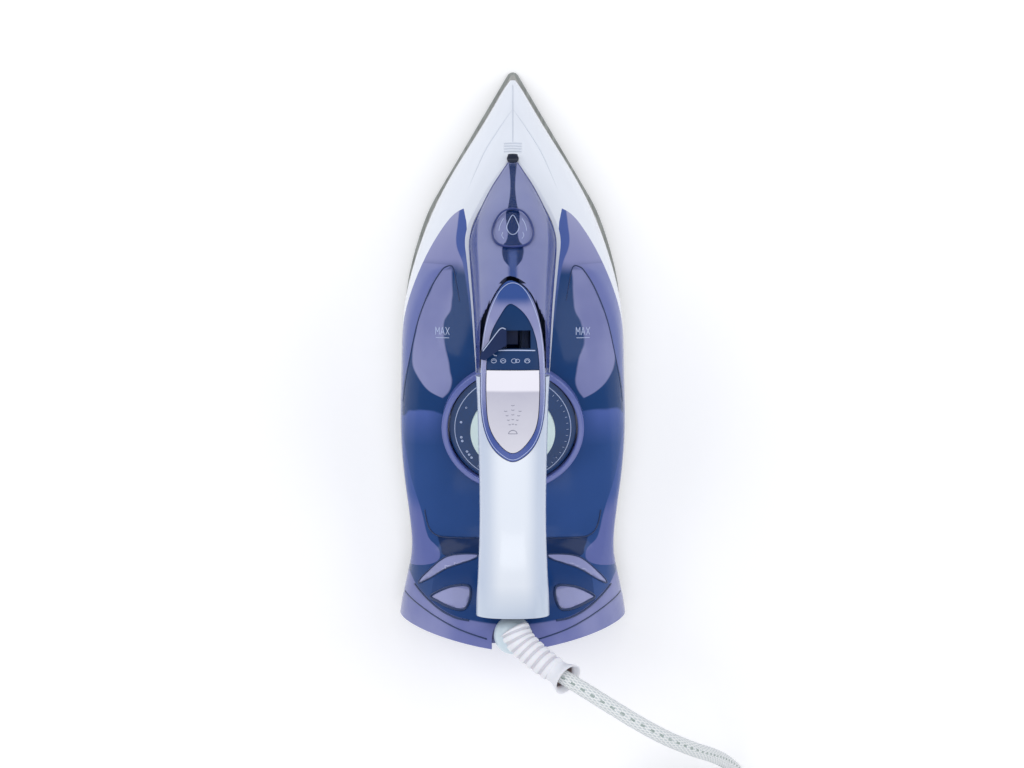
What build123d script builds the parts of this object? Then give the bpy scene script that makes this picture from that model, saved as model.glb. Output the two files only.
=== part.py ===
"""Steam iron lying on its soleplate: +Y points to the tip, +Z up, origin under the middle of the soleplate.

Millimetres. The casings are thin shells cut from a few lofted hulls, so that neighbours meet on shared cuts.
"""

import math
import os

from build123d import *

# ---------------------------------------------------------------- driving dimensions
WALL = 2.2  # moulded wall of every casing
FIT = 0.3  # gap between parts that move past each other
TIP_Y = 147.0  # front of the soleplate
HEEL_TOP_Y = -147.0  # rearmost point of the heel, at its top
HEEL_TOP_Z = 95.0
HEEL_LEAN = 0.07  # the heel plane runs back by this share of its height
HEEL_RIM = 11.5  # depth of the heel cover's rim
SKIRT_Z = 9.0  # lower edge of the white skirt
SEAM_Z = 24.0  # seam between skirt and tank along the sides

# The body hull: y, half width, shoulder height, crown height, fullness of the arch.
BODY = [
    (142.0, 1.5, 10.6, 13.5, 1.8),
    (131.0, 8.5, 13.0, 24.5, 1.75),
    (116.0, 17.4, 15.0, 36.5, 1.75),
    (98.0, 28.7, 17.0, 48.5, 1.8),
    (76.0, 40.7, 19.0, 59.5, 1.95),
    (50.0, 50.6, 22.0, 67.0, 2.2),
    (22.0, 57.0, 26.0, 72.5, 2.45),
    (-10.0, 58.4, 28.0, 74.5, 2.6),
    (-38.0, 58.9, 29.0, 64.5, 2.6),
    (-65.0, 57.3, 29.0, 54.0, 2.5),
    (-88.0, 54.5, 27.0, 47.5, 2.4),
    (-104.0, 53.6, 24.0, 50.5, 2.2),
    (-118.0, 55.8, 20.0, 66.0, 1.9),
    (-130.0, 58.6, 17.0, 84.0, 1.65),
    (-141.0, 60.4, 15.0, 94.0, 1.5),
    (-153.0, 61.6, 14.0, 99.0, 1.45),
]
# The fill door and the column under it: y, half width, lower edge height, crown height, ledge outside the door.
DOOR = [
    (99.0, 1.6, 51.0, 54.5, 1.2),
    (92.0, 6.2, 55.5, 63.5, 1.4),
    (83.0, 11.8, 61.0, 75.5, 1.8),
    (72.0, 17.2, 67.5, 90.0, 2.4),
    (60.0, 21.6, 74.5, 104.5, 2.2),
    (50.0, 21.7, 80.5, 116.5, 1.6),
    (40.0, 20.8, 87.0, 127.5, 1.3),
    (30.0, 19.9, 93.5, 134.5, 1.1),
    (18.0, 19.0, 100.0, 139.5, 0.9),
    (4.0, 18.2, 106.0, 142.0, 0.6),
    (-9.0, 17.8, 108.8, 143.4, 0.2),
]
DOOR_FULLNESS = 3.0
# The handle grip: y, half width, mid height, crown height, underside height.
GRIP = [
    (-7.0, 17.8, 127.0, 143.3, 109.5),
    (-25.0, 16.9, 128.0, 144.2, 110.5),
    (-45.0, 16.4, 127.5, 143.8, 110.5),
    (-65.0, 16.1, 125.0, 141.3, 108.5),
    (-85.0, 16.3, 119.5, 135.5, 103.0),
    (-102.0, 17.0, 111.5, 127.0, 93.5),
    (-116.0, 17.8, 102.0, 117.0, 78.0),
    (-129.0, 18.4, 91.0, 105.5, 60.0),
]
GRIP_FULLNESS = 2.4

# The teardrop control bezel on top of the handle: half outline from front to rear.
BEZEL_OUTLINE = [(0, 38.5), (6.8, 34.0), (12.4, 21.0), (14.6, 8.0), (15.3, -7.0), (15.1, -21.0), (13.4, -32.0),
                 (9.6, -40.2), (4.2, -45.2), (0, -46.7)]
PANEL_OUTLINE = [(0, 27.5), (5.6, 23.0), (9.9, 15.0), (12.3, 3.0), (12.7, -3.0)]
BUTTON_OUTLINE = [(12.6, -21.0), (11.2, -30.5), (6.6, -38.6), (0, -42.9)]
BUTTON_FRONT_Y = -3.6
BUTTON_TRAVEL = 3.0

PIVOT_Y, PIVOT_Z = -2.0, 114.0  # fill door's hinge axis
ARM_RADIUS = 4.6  # rounded end of each door arm

DIAL_Y, DIAL_Z = -38.0, 65.0
DIAL_TILT = 22.0  # degrees, the dial faces back towards the user
DIAL_RADIUS = 32.3
WELL_RADIUS = 33.2
COLLAR_RADIUS = 36.3
CAP_RADIUS = 21.5

VALVE_Y = 24.0
ROD_TOP = 131.1  # underside of the valve rod's head
FLOOR_Z = 28.0  # underside of the tank floor
FLOOR_THICK = 2.0

SOLE_THICK = 2.0
FLANK_ANGLE = math.radians(30.7)  # of the outward normal of the sole's straight front edges
CASTING_FLANGE_Z = 7.5
CASTING_TOP_Z = 13.0

# The top of the controls: y and crown height, arched across by CROWN_SAG.
CROWN = [(45.0, 127.5), (38.5, 131.2), (30.0, 134.8), (18.0, 138.8), (4.0, 141.6), (-9.0, 143.2), (-25.0, 144.2),
         (-45.0, 143.9), (-60.0, 142.4)]
CROWN_SAG = 3.4
CROWN_HALF = 17.0

LINE_TOP = (33.0, 113.0)  # y, z where the two supply lines bend level
LINE_LOW = (75.0, 68.5)  # where they meet the manifold
PUMP_X, PUMP_Y = 5.6, -21.0
PISTON_RADIUS = 3.25
BORE_RADIUS = 3.3
STROKE = 3.0

GLAND_Y, GLAND_Z, GLAND_RADIUS = -140.0, 95.5, 9.6
CORD_RADIUS = 3.75
GUARD_RADIUS = 6.6
GUARD_MOUTH_RADIUS = 8.7
TABLE_LINE = CORD_RADIUS + 0.05  # height of a cord's middle where it lies on the table
# The cord from the guard's mouth to the coil.
ROUTE = [(19.9, -154.6, 105.5), (46.5, -170.0, 113.5), (71.0, -185.5, 110.5), (91.0, -198.0, 91.5),
         (103.0, -207.0, 66.0), (113.0, -217.0, 40.0), (123.0, -231.0, 15.5), (131.0, -258.0, TABLE_LINE),
         (134.0, -286.0, TABLE_LINE)]
COIL_X, COIL_Y = 90.0, -286.0
COIL_RADIUS = 36.5  # to the middle of its turns
TAIL = [(72.0, -322.5, 17.8), (55.0, -324.5, 18.4), (36.0, -325.0, 18.6)]  # out of the coil and into the plug
PLUG_AXIS_Z = 18.6
PLUG_RADIUS = 18.5
PIN_RADIUS = 2.4
PIN_PITCH = 19.0
PIN_LENGTH = 19.0

os.makedirs("parts", exist_ok=True)


def save(piece, name):
    """Labels a finished piece and writes its STEP."""
    piece.label = name
    export_step(piece, f"parts/{name}.step")


# ---------------------------------------------------------------- hulls
def arch(half_width, shoulder, crown, fullness, steps=8):
    """Points of a superellipse arch from the right shoulder over the crown to the left one."""
    points = []
    for i in range(2 * steps + 1):
        a = math.pi * i / (2 * steps)
        c, s = math.cos(a), math.sin(a)
        x = math.copysign(abs(c) ** (2 / fullness), c) * half_width
        z = shoulder + abs(s) ** (2 / fullness) * (crown - shoulder)
        points.append((x, z))
    return points


def section_plane(y):
    return Plane.XZ.offset(-y)


def arched_hull(stations):
    """Loft of arches at y stations (y, half width, shoulder, crown, fullness, floor) with straight sides."""
    with BuildPart(mode=Mode.PRIVATE) as hull:
        for y, half_width, shoulder, crown, fullness, low in stations:
            with BuildSketch(section_plane(y)):
                with BuildLine():
                    top = Spline(*arch(half_width, shoulder, crown, fullness))
                    Polyline(top @ 1, (-half_width, low), (half_width, low), top @ 0)
                make_face()
        loft()
    return hull.part


def body_hull(inset):
    """The body's outer hull, or its cavity when inset by the wall."""
    stations = []
    for y, half_width, shoulder, crown, fullness in BODY:
        y_in = min(y, 142.0 - 1.5 * inset)
        low = SKIRT_Z - 2 * inset
        stations.append((y_in, max(half_width - inset, 0.4), shoulder, crown - inset, fullness, low))
    return arched_hull(stations)


def door_hull(inset, lift=0.0, drop=1.0):
    """The cap that the fill door is cut from; lift raises its crown."""
    stations = []
    for y, half_width, edge, crown, _ in DOOR:
        y_in = min(y, 99.0 - 2 * inset)
        shoulder = edge + 1.0 + FIT
        wide = max(half_width - inset, 0.4)
        stations.append((y_in, wide, shoulder, crown - inset + lift, DOOR_FULLNESS, shoulder - drop))
    return arched_hull(stations)


def column_hull(inset):
    """The upright column under the door, down into the body."""
    with BuildPart(mode=Mode.PRIVATE) as hull:
        for y, half_width, edge, _, ledge in DOOR:
            y_in = min(y, 99.0 - 1.5 * inset)
            wide = max(half_width + ledge - inset, 0.5)
            top = edge + inset
            with BuildSketch(section_plane(y_in)):
                with Locations((0, (40.0 + top) / 2)):
                    Rectangle(2 * wide, top - 40.0)
        loft()
    return hull.part


def grip_hull(inset):
    """The handle grip, closed all round."""
    with BuildPart(mode=Mode.PRIVATE) as hull:
        for y, half_width, middle, crown, under in GRIP:
            wide = half_width - inset
            with BuildSketch(section_plane(y)):
                with BuildLine():
                    Spline(*arch(wide, middle, crown - inset, GRIP_FULLNESS))
                    Spline(*arch(wide, middle, under + inset, GRIP_FULLNESS))
                make_face()
        loft()
    return hull.part


def crown_hull(drop):
    """Everything under the top of the controls, lowered by drop."""
    with BuildPart(mode=Mode.PRIVATE) as hull:
        for y, z in CROWN:
            top = z - drop
            side = top - CROWN_SAG
            with BuildSketch(section_plane(y)):
                with BuildLine():
                    ThreePointArc((CROWN_HALF, side), (0, top), (-CROWN_HALF, side))
                    Polyline((-CROWN_HALF, side), (-CROWN_HALF, 90), (CROWN_HALF, 90), (CROWN_HALF, side))
                make_face()
        loft()
    return hull.part


def side_prism(points, half_width=90.0):
    """A side-view outline of (y, z) points, extruded across the iron."""
    with BuildPart(mode=Mode.PRIVATE) as prism:
        with BuildSketch(Plane.YZ):
            with BuildLine():
                Polyline(*points, close=True)
            make_face()
        extrude(amount=half_width, both=True)
    return prism.part


def grown(half_outline, amount):
    """A right-hand half outline, front to rear, with every point moved outwards by amount."""
    moved = []
    last = len(half_outline) - 1
    for i, (x, y) in enumerate(half_outline):
        if i in (0, last):
            moved.append((x, y + amount if i == 0 else y - amount))
            continue
        along = Vector(*half_outline[i + 1]) - Vector(*half_outline[i - 1])
        out = Vector(-along.Y, along.X).normalized() * amount
        moved.append((x + out.X, y + out.Y))
    return moved


def plan_prism(half_outline, low, high, grow=0.0):
    """A plan outline given as its right half from front to rear, extruded from low to high."""
    points = grown(half_outline, grow)
    with BuildPart(mode=Mode.PRIVATE) as prism:
        with BuildSketch(Plane.XY.offset(low)):
            with BuildLine():
                Spline(*points, *[(-x, y) for x, y in points[-2:0:-1]], periodic=True)
            make_face()
        extrude(amount=high - low)
    return prism.part


def sole_prism(inset, low, high, rear=-120.0):
    """The soleplate's plan outline, inset, extruded from low to high; far inside, it gets straight sides."""
    flank_x, flank_y = math.cos(FLANK_ANGLE), math.sin(FLANK_ANGLE)
    tip_radius = 3.2 - inset
    tip_y = TIP_Y - 3.2
    shoulder = (41.2 - flank_x * inset, 80.8 - flank_y * inset)
    flank = [(50.9 - 0.93 * inset, 57.2 - 0.36 * inset), (56.6 - inset, 33.5 - 0.17 * inset), (58.0 - inset, 5.0),
             (55.6 - inset, -55.0)]
    with BuildPart(mode=Mode.PRIVATE) as prism:
        with BuildSketch(Plane.XY.offset(low)):
            with BuildLine():
                for side in (1, -1):
                    start = (side * shoulder[0], shoulder[1])
                    sides = [(side * x, y) for x, y in flank]
                    if tip_radius < 0:
                        Polyline((0, tip_y + tip_radius / flank_y), start, *sides,
                                 (side * (53 - inset), rear), (0, rear))
                        continue
                    ThreePointArc((0, tip_y + tip_radius), (side * tip_radius * 0.5, tip_y + tip_radius * 0.866),
                                  (side * tip_radius * flank_x, tip_y + tip_radius * flank_y))
                    Line((side * tip_radius * flank_x, tip_y + tip_radius * flank_y), start)
                    corner = (side * (50.5 - inset), rear + 12)
                    Spline(start, *sides, corner, tangents=((side * flank_y, -flank_x), (-0.12 * side, -1)))
                    ThreePointArc(corner, (side * (46.6 - 0.8 * inset), rear + 3.6 + 0.8 * inset),
                                  (side * 38.0, rear + inset))
                    Line((side * 38.0, rear + inset), (0, rear + inset))
            make_face()
        extrude(amount=high - low)
    return prism.part


def rod(start, end, radius):
    """A solid cylinder between two points."""
    plane = Plane(origin=start, z_dir=Vector(*end) - Vector(*start))
    with BuildPart(mode=Mode.PRIVATE) as bar:
        with BuildSketch(plane):
            Circle(radius)
        extrude(amount=(Vector(*end) - Vector(*start)).length)
    return bar.part


def block(low, high):
    """A box from its lowest to its highest corner."""
    size = [b - a for a, b in zip(low, high)]
    return Pos(*low) * Box(*size, align=(Align.MIN, Align.MIN, Align.MIN), mode=Mode.PRIVATE)


def heel_plane_y(z, forward=0.0):
    """Where the heel plane, or a plane that much in front of it, stands at height z."""
    return HEEL_TOP_Y + forward + (HEEL_TOP_Z - z) * HEEL_LEAN


def behind_heel(forward):
    """Everything behind the heel plane moved forward by that much."""
    low, high = heel_plane_y(-20, forward), heel_plane_y(170, forward)
    return side_prism([(low, -20), (high, 170), (-190, 170), (-190, -20)])


def largest(shape):
    """One part out of a boolean's result, keeping only its largest solid."""
    return Part([shape.solids().sort_by(SortBy.VOLUME)[-1]])


# ---------------------------------------------------------------- shared shapes
body_outer = body_hull(0.0)
body_cavity = body_hull(WALL)
column_outer = column_hull(0.0)
column_cavity = column_hull(WALL)
grip_outer = grip_hull(0.0)
grip_cavity = grip_hull(WALL)
in_rim = behind_heel(HEEL_RIM)
control_cut = plan_prism(BEZEL_OUTLINE, 118, 160, grow=0.3)

DIAL_AXIS = Vector(0, -math.sin(math.radians(DIAL_TILT)), math.cos(math.radians(DIAL_TILT)))
DIAL_CENTRE = Vector(0, DIAL_Y, DIAL_Z)


def dial_plane(height):
    """Plane across the dial's axis, that far above the dial's middle."""
    return Plane(origin=DIAL_CENTRE + DIAL_AXIS * height, x_dir=(1, 0, 0), z_dir=DIAL_AXIS)


def dial_disc(low, high, radius):
    """A disc round the dial's axis."""
    with BuildPart(mode=Mode.PRIVATE) as disc:
        with BuildSketch(dial_plane(low)):
            Circle(radius)
        extrude(amount=high - low)
    return disc.part


with BuildPart() as white_side:  # in front of and under the seam between nose and tank
    with BuildSketch(Plane.YZ):
        with BuildLine():
            seam = Spline((76.5, 80), (76.2, 58), (73.0, 50.5), (64, 47.4), (52, 45.8), (39, 44.6), (27, 42.6), (14, 38),
                          (0, 31.6), (-16, 27), (-40, 24), (-100, 22), (-190, 21), tangents=((0, -1), (-1, 0)))
            Polyline(seam @ 1, (-190, -20), (170, -20), (170, 80), seam @ 0)
        make_face()
    extrude(amount=90, both=True)
    with BuildSketch(Plane.XY.offset(40)):  # and between the tank's two pointed wings and the column
        Polygon((26.2, 78), (25.3, 74.5), (23.7, 67), (23.0, 58), (-23.0, 58), (-23.7, 67), (-25.3, 74.5), (-26.2, 78),
                align=None)
    extrude(amount=50)

# Rear face of the column, slanting up to the handle.
behind_column = side_prism([(-7, 130), (-7, 110), (-4.5, 99), (-2, 89), (0, 79), (0, 30), (-60, 30), (-60, 130)])
behind_column_in = side_prism([(-4.8, 130), (-4.8, 110), (-2.3, 99), (0.2, 89), (2.2, 79), (2.2, 30), (-60, 30),
                               (-60, 130)])

with BuildPart() as cord_notch:  # opening at the top of the heel for the cord's gland
    with BuildSketch(Plane.XY.offset(80)):
        with Locations((0, -142)):
            Circle(10.5)
        with Locations((0, -151)):
            Rectangle(21, 18)
    extrude(amount=40)

collar_cut = dial_disc(-9.5, 14, COLLAR_RADIUS)
body_shell = body_outer - body_cavity
column_solid = column_outer - behind_column
column_hollow = column_cavity - behind_column_in

# ---------------------------------------------------------------- sole and heater
with BuildPart() as soleplate:
    add(sole_prism(0.6, 0, 0.6))
    add(sole_prism(0, 0.6, SOLE_THICK))
    with Locations([(side * (62 - 0.45 * y), y, 0) for y in (50, 64, 78, 92, 106) for side in (-0.62, 0.62)]):
        Hole(radius=1.1, depth=SOLE_THICK)
    with Locations([(x, y, 0) for x in (-18, 18) for y in (84, 70, 56, 42)]):
        Hole(radius=1.1, depth=SOLE_THICK)
    with Locations((0, 112, 0), (-4, 100, 0), (4, 100, 0)):
        Hole(radius=1.1, depth=SOLE_THICK)
save(soleplate.part, "soleplate")

element_path = FilletPolyline((-33, -114, 9.4), (-39, -60, 9.4), (-37, 30, 9.4), (0, 112, 9.4), (37, 30, 9.4),
                              (39, -60, 9.4), (33, -114, 9.4), radius=[60, 60, 9, 60, 60])
with BuildPart() as element_tube:
    with BuildSketch(Plane(origin=element_path @ 0, z_dir=element_path % 0)):
        Circle(3.3)
    sweep(path=element_path)

with BuildPart() as heating_element:
    add(element_tube.part)
    for end, way in ((element_path @ 0, -(element_path % 0)), (element_path @ 1, element_path % 1)):
        with BuildSketch(Plane(origin=end, z_dir=way)):
            Circle(1.3)
        extrude(amount=7)
save(heating_element.part, "heating_element")

with BuildPart() as heater_casting:
    add(sole_prism(1.8, SOLE_THICK, CASTING_FLANGE_Z))
    add(sole_prism(12.0, CASTING_FLANGE_Z, CASTING_TOP_Z, rear=-110))
    add(sole_prism(25.0, 8.0, CASTING_TOP_Z + 1, rear=-80), mode=Mode.SUBTRACT)
    add(element_tube.part, mode=Mode.SUBTRACT)
save(largest(heater_casting.part), "heater_casting")

with BuildPart() as chamber_gasket:
    add(sole_prism(21.5, CASTING_TOP_Z, CASTING_TOP_Z + 0.8, rear=-84))
    add(sole_prism(24.5, CASTING_TOP_Z - 1, CASTING_TOP_Z + 2, rear=-80), mode=Mode.SUBTRACT)
save(chamber_gasket.part, "chamber_gasket")

COVER_TOP = CASTING_TOP_Z + 2.0
with BuildPart() as chamber_cover:
    add(sole_prism(21.0, CASTING_TOP_Z + 0.8, COVER_TOP, rear=-84))
    with Locations((0, VALVE_Y, COVER_TOP)):
        Hole(radius=3.0, depth=5)
save(chamber_cover.part, "chamber_cover")

with BuildPart() as sole_screws:
    for x, y in ((0, 88), (-27, -74), (27, -74)):
        with BuildSketch(Plane.XY.offset(COVER_TOP)):
            with Locations((x, y)):
                Circle(3.6)
                RegularPolygon(1.6, 6, mode=Mode.SUBTRACT)
        extrude(amount=2.6)
save(sole_screws.part, "sole_screws")

with BuildPart() as heat_shield:
    add((body_cavity & block((-80, -126, 21.0), (80, 112, 22.4))))
    add(block((-19, -42, 15), (19, 2, 24)), mode=Mode.SUBTRACT)
    with Locations((0, VALVE_Y, 22.4)):
        Hole(radius=6.5, depth=5)
    add(in_rim, mode=Mode.SUBTRACT)
save(largest(heat_shield.part), "heat_shield")

# ---------------------------------------------------------------- casings
tools = column_hollow + grip_outer + cord_notch.part
nozzle_cut = rod((0, 88, 51.0), (0, 104, 48.6), 2.7)
GRILLE_PLANE = Plane(origin=(0, 107.4, 42.6), x_dir=(1, 0, 0), z_dir=(0, 0.55, 0.835))
with BuildPart() as grille_pocket:
    with BuildSketch(GRILLE_PLANE):
        Rectangle(9.0, 5.0)
    extrude(amount=3, both=True)

nose = body_shell & white_side.part
nose = nose - in_rim - tools - column_solid - nozzle_cut
nose_housing = largest(nose)
save(nose_housing, "nose_housing")

tank = body_shell - white_side.part
tank = tank - in_rim - tools - column_solid - collar_cut
water_tank = largest(tank)
save(water_tank, "water_tank")

heel = body_outer & in_rim
heel = heel - behind_heel(0) - (body_cavity - behind_heel(WALL)) - cord_notch.part - grip_outer
heel_floor = (block((-14, -160, 77.5), (14, -130, 79.8)) & body_cavity) - behind_heel(WALL)
heel_cover = largest(heel + heel_floor)
save(heel_cover, "heel_cover")

with BuildPart() as heel_pads:
    for x in (-44, 44):
        pad_plane = Plane(origin=(x, heel_plane_y(22), 22), x_dir=(1, 0, 0), z_dir=(0, -1, -HEEL_LEAN))
        with BuildSketch(pad_plane):
            SlotOverall(16, 8)
        extrude(amount=1.6, taper=12)
save(heel_pads.part, "heel_pads")

column = column_solid - column_hollow - body_outer
column_frame = largest(column - nozzle_cut)
save(column_frame, "column_frame")

with BuildPart() as tank_floor:
    add(body_cavity & block((-80, -110, FLOOR_Z), (80, 90, FLOOR_Z + FLOOR_THICK)))
    add(body_cavity & block((-80, -110, FLOOR_Z + FLOOR_THICK), (80, -108, 100)))
    add(white_side.part & block((-80, 34, 0), (80, 100, 100)), mode=Mode.SUBTRACT)
    add(dial_disc(-60, -20, 6.5), mode=Mode.SUBTRACT)
    with Locations((0, VALVE_Y, 30)):
        Hole(radius=5.0, depth=8)
    add(grip_outer, mode=Mode.SUBTRACT)
save(largest(tank_floor.part), "tank_floor")

# ---------------------------------------------------------------- valve
with BuildPart() as valve_seat:
    with BuildSketch(Plane.XY.offset(COVER_TOP)):
        with Locations((0, VALVE_Y)):
            Circle(5.0)
            Circle(1.9, mode=Mode.SUBTRACT)
    extrude(amount=FLOOR_Z + 4 - COVER_TOP)
save(valve_seat.part, "valve_seat")

with BuildPart() as valve_rod:
    with BuildSketch(Plane.XY.offset(20)):
        with Locations((0, VALVE_Y)):
            Circle(1.5)
    extrude(amount=ROD_TOP - 20)
    with BuildSketch(Plane.XY.offset(ROD_TOP)):
        with Locations((0, VALVE_Y)):
            Circle(2.6)
    extrude(amount=0.8)
    chamfer(valve_rod.faces().sort_by(Axis.Z)[0].edges(), length=0.8)
save(valve_rod.part, "valve_rod")

# ---------------------------------------------------------------- thermostat and dial
with BuildPart() as dial_collar:
    with BuildSketch(dial_plane(-9.5)):
        Circle(COLLAR_RADIUS)
        Circle(4.9, mode=Mode.SUBTRACT)
    extrude(amount=1.5)
    with BuildSketch(dial_plane(-8)):
        Circle(COLLAR_RADIUS)
        Circle(WELL_RADIUS, mode=Mode.SUBTRACT)
    extrude(amount=9.5)
    fillet(dial_collar.edges().group_by(Axis((0, 0, 0), DIAL_AXIS))[-1], radius=0.8)
save(dial_collar.part, "dial_collar")

DIAL_SIDE = Plane(origin=DIAL_CENTRE, x_dir=(1, 0, 0), z_dir=Vector(1, 0, 0).cross(DIAL_AXIS))
with BuildPart() as dial_knob:
    with BuildSketch(DIAL_SIDE):
        with BuildLine():
            Polyline((0, 3), (21.8, 3), (DIAL_RADIUS, -0.6), (DIAL_RADIUS, -6.8), (DIAL_RADIUS - 2.2, -6.8),
                     (DIAL_RADIUS - 2.2, -2.4), (21, 1), (4.4, 1), (4.4, -9), (0, -9), close=True)
        make_face()
    revolve(axis=Axis(DIAL_CENTRE, DIAL_AXIS))
save(dial_knob.part, "dial_knob")

with BuildPart() as dial_cap:
    with BuildSketch(DIAL_SIDE):
        Polygon((0, 3), (CAP_RADIUS, 3), (CAP_RADIUS, 5.0), (CAP_RADIUS - 2, 6.4), (12, 8.2), (0, 8.8), align=None)
    revolve(axis=Axis(DIAL_CENTRE, DIAL_AXIS))
save(dial_cap.part, "dial_cap")

save(dial_disc(-44.6, -9, 3.0), "dial_shaft")

with BuildPart() as shaft_sleeve:
    with BuildSketch(dial_plane(-42)):
        Circle(6.5)
        Circle(3.8, mode=Mode.SUBTRACT)
    extrude(amount=32.5)
save(shaft_sleeve.part, "shaft_sleeve")

with BuildPart() as thermostat:
    with BuildSketch(dial_plane(-50.3)):
        Circle(8.5)
    extrude(amount=5.6)
    with BuildSketch(dial_plane(-48.8)):
        Rectangle(26, 9)
    extrude(amount=1.2)
save(thermostat.part, "thermostat")

with BuildPart() as thermal_fuse:
    with BuildSketch(Plane.YZ.offset(12)):
        with Locations((-62, COVER_TOP + 2.4)):
            Circle(2.2)
    extrude(amount=14)
    with BuildSketch(Plane.XY.offset(COVER_TOP)):
        with Locations((19, -62)):
            Rectangle(4, 7)
    extrude(amount=0.8)
save(thermal_fuse.part, "thermal_fuse")

# ---------------------------------------------------------------- fill door
door_shell = door_hull(0.0) - door_hull(WALL, drop=3.0)
ring_outline = [(0, 74.0), (6.5, 71.0), (10.8, 63.5), (8.4, 57.0), (0, 54.4)]
finger_ring = plan_prism(ring_outline, 80, 130) - plan_prism(ring_outline, 80, 130, grow=-1.4)
finger_ring = (finger_ring & door_hull(0.0, lift=1.2)) - door_hull(0.0)

with BuildPart() as door_region:  # side view of what belongs to the door: its panel and the two rounded arms
    with BuildSketch(Plane.YZ):
        Polygon((PIVOT_Y, PIVOT_Z + ARM_RADIUS), (33, 136), (45, 150), (110, 150), (110, 40), (60, 40),
                (PIVOT_Y, PIVOT_Z - ARM_RADIUS), align=None)
        with Locations((PIVOT_Y, PIVOT_Z)):
            Circle(ARM_RADIUS)
    extrude(amount=60, both=True)

head_sweep = plan_prism(BEZEL_OUTLINE, 100, 160, grow=0.8) & crown_hull(-0.8)
hinge_line = Axis((0, PIVOT_Y, PIVOT_Z), (1, 0, 0))
door = (door_shell & door_region.part) - plan_prism(BEZEL_OUTLINE, 90, 170, grow=0.7)
for angle in (5, 11, 18, 26, 35):
    door = door - head_sweep.rotate(hinge_line, -angle)
door = door - rod((-30, PIVOT_Y, PIVOT_Z), (30, PIVOT_Y, PIVOT_Z), 2.05)
door = door - rod((0, 86, 51.4), (0, 104, 48.5), 3.1)
fill_door = largest(door + finger_ring)
save(fill_door, "fill_door")

with BuildPart() as door_pins:
    for side in (-1, 1):
        with BuildSketch(Plane.YZ.offset(side * 15.2)):
            with Locations((PIVOT_Y, PIVOT_Z)):
                Circle(2.0)
        extrude(amount=1.15, both=True)
        with BuildSketch(Plane.YZ.offset(side * 16.3)):
            with Locations((PIVOT_Y, PIVOT_Z)):
                Circle(2.0)
        extrude(amount=side * 1.4)
save(door_pins.part, "door_pins")

# ---------------------------------------------------------------- head and controls
core_outline = plan_prism(BEZEL_OUTLINE, 104, 126.0, grow=-0.1)
core_hollow = plan_prism(BEZEL_OUTLINE, 100, 128.0, grow=-1.9)
head_core = (core_outline - core_hollow) & block((-20, -4.6, 100), (20, 60, 130))
for side in (-1, 1):
    head_core = head_core - rod((side * 12, PIVOT_Y, PIVOT_Z), (side * 16, PIVOT_Y, PIVOT_Z), 2.0)
head_core = head_core - block((-9, 28, 103), (9, 45, 120)) - column_frame
save(largest(head_core), "head_core")

INNER_OUTLINE = PANEL_OUTLINE + BUTTON_OUTLINE
bezel = (plan_prism(BEZEL_OUTLINE, 126, 160) & crown_hull(0.0)) - plan_prism(INNER_OUTLINE, 90, 170)
bezel = bezel - block((-9.8, 6.0, 120), (9.8, 23.4, 133))  # room for the steam lever's plate
save(largest(bezel), "control_bezel")

panel = (plan_prism(INNER_OUTLINE, 110, 160, grow=-0.1) & crown_hull(0.6)) - crown_hull(2.4)
panel = panel & block((-30, BUTTON_FRONT_Y + 0.3, 100), (30, 60, 170))
panel = panel - block((-6.4, 6.6, 100), (8.4, 15.2, 170))
save(largest(panel), "control_panel")

button = (plan_prism(INNER_OUTLINE, 110, 160, grow=-0.35) & crown_hull(-0.9)) - crown_hull(5.0)
button = button & block((-30, -80, 100), (30, BUTTON_FRONT_Y, 170))
with BuildPart() as dish:  # the concave finger dish
    with BuildSketch(Plane.YZ):
        with Locations((-22, 186.5)):
            Circle(42.6)
    extrude(amount=11, both=True)
button = button - dish.part
save(largest(button), "spray_button")

with BuildPart() as steam_lever:
    with BuildSketch(Plane.XY.offset(ROD_TOP - 1.8)):
        with Locations((-3.4, 15.2)):
            Rectangle(11.6, 14.0)
    extrude(amount=1.5)
    with BuildSketch(Plane.XY.offset(ROD_TOP - 0.4)):
        with Locations((-4.6, 10.9)):
            Rectangle(3.2, 6.4)
    extrude(amount=141.6 - ROD_TOP + 0.4)
    with BuildSketch(Plane.XY.offset(141.3)):
        with BuildLine():
            Polyline((-3.0, 16.4), (-6.0, 16.8), (-14.8, 5.6), (-15.6, 1.8), (-13.2, 1.2), (-3.0, 8.6), close=True)
        make_face()
    extrude(amount=1.8)
save(steam_lever.part, "steam_lever")

# ---------------------------------------------------------------- pumps and lines
def barrel(x, low, high):
    """A pump barrel with its side port facing forward."""
    with BuildPart(mode=Mode.PRIVATE) as tube:
        add(rod((x, PUMP_Y, low), (x, PUMP_Y, high), 4.6))
        add(rod((x, PUMP_Y + 3.9, PORT_Z), (x, PUMP_Y + 9.0, PORT_Z), 1.7))
        add(rod((x, PUMP_Y, low - 1), (x, PUMP_Y, high + 1), BORE_RADIUS), mode=Mode.SUBTRACT)
    return tube.part


def spring(x, low, high):
    """A light return spring of round wire round a piston's rod."""
    with BuildPart(mode=Mode.PRIVATE) as wire:
        with BuildLine():
            turns = Helix(pitch=(high - low - 0.9) / 4, height=high - low - 0.9, radius=3.3,
                          center=(x, PUMP_Y, low + 0.45))
        with BuildSketch(Plane(origin=turns @ 0, z_dir=turns % 0)):
            Circle(0.35)
        sweep()
    return wire.part


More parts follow.
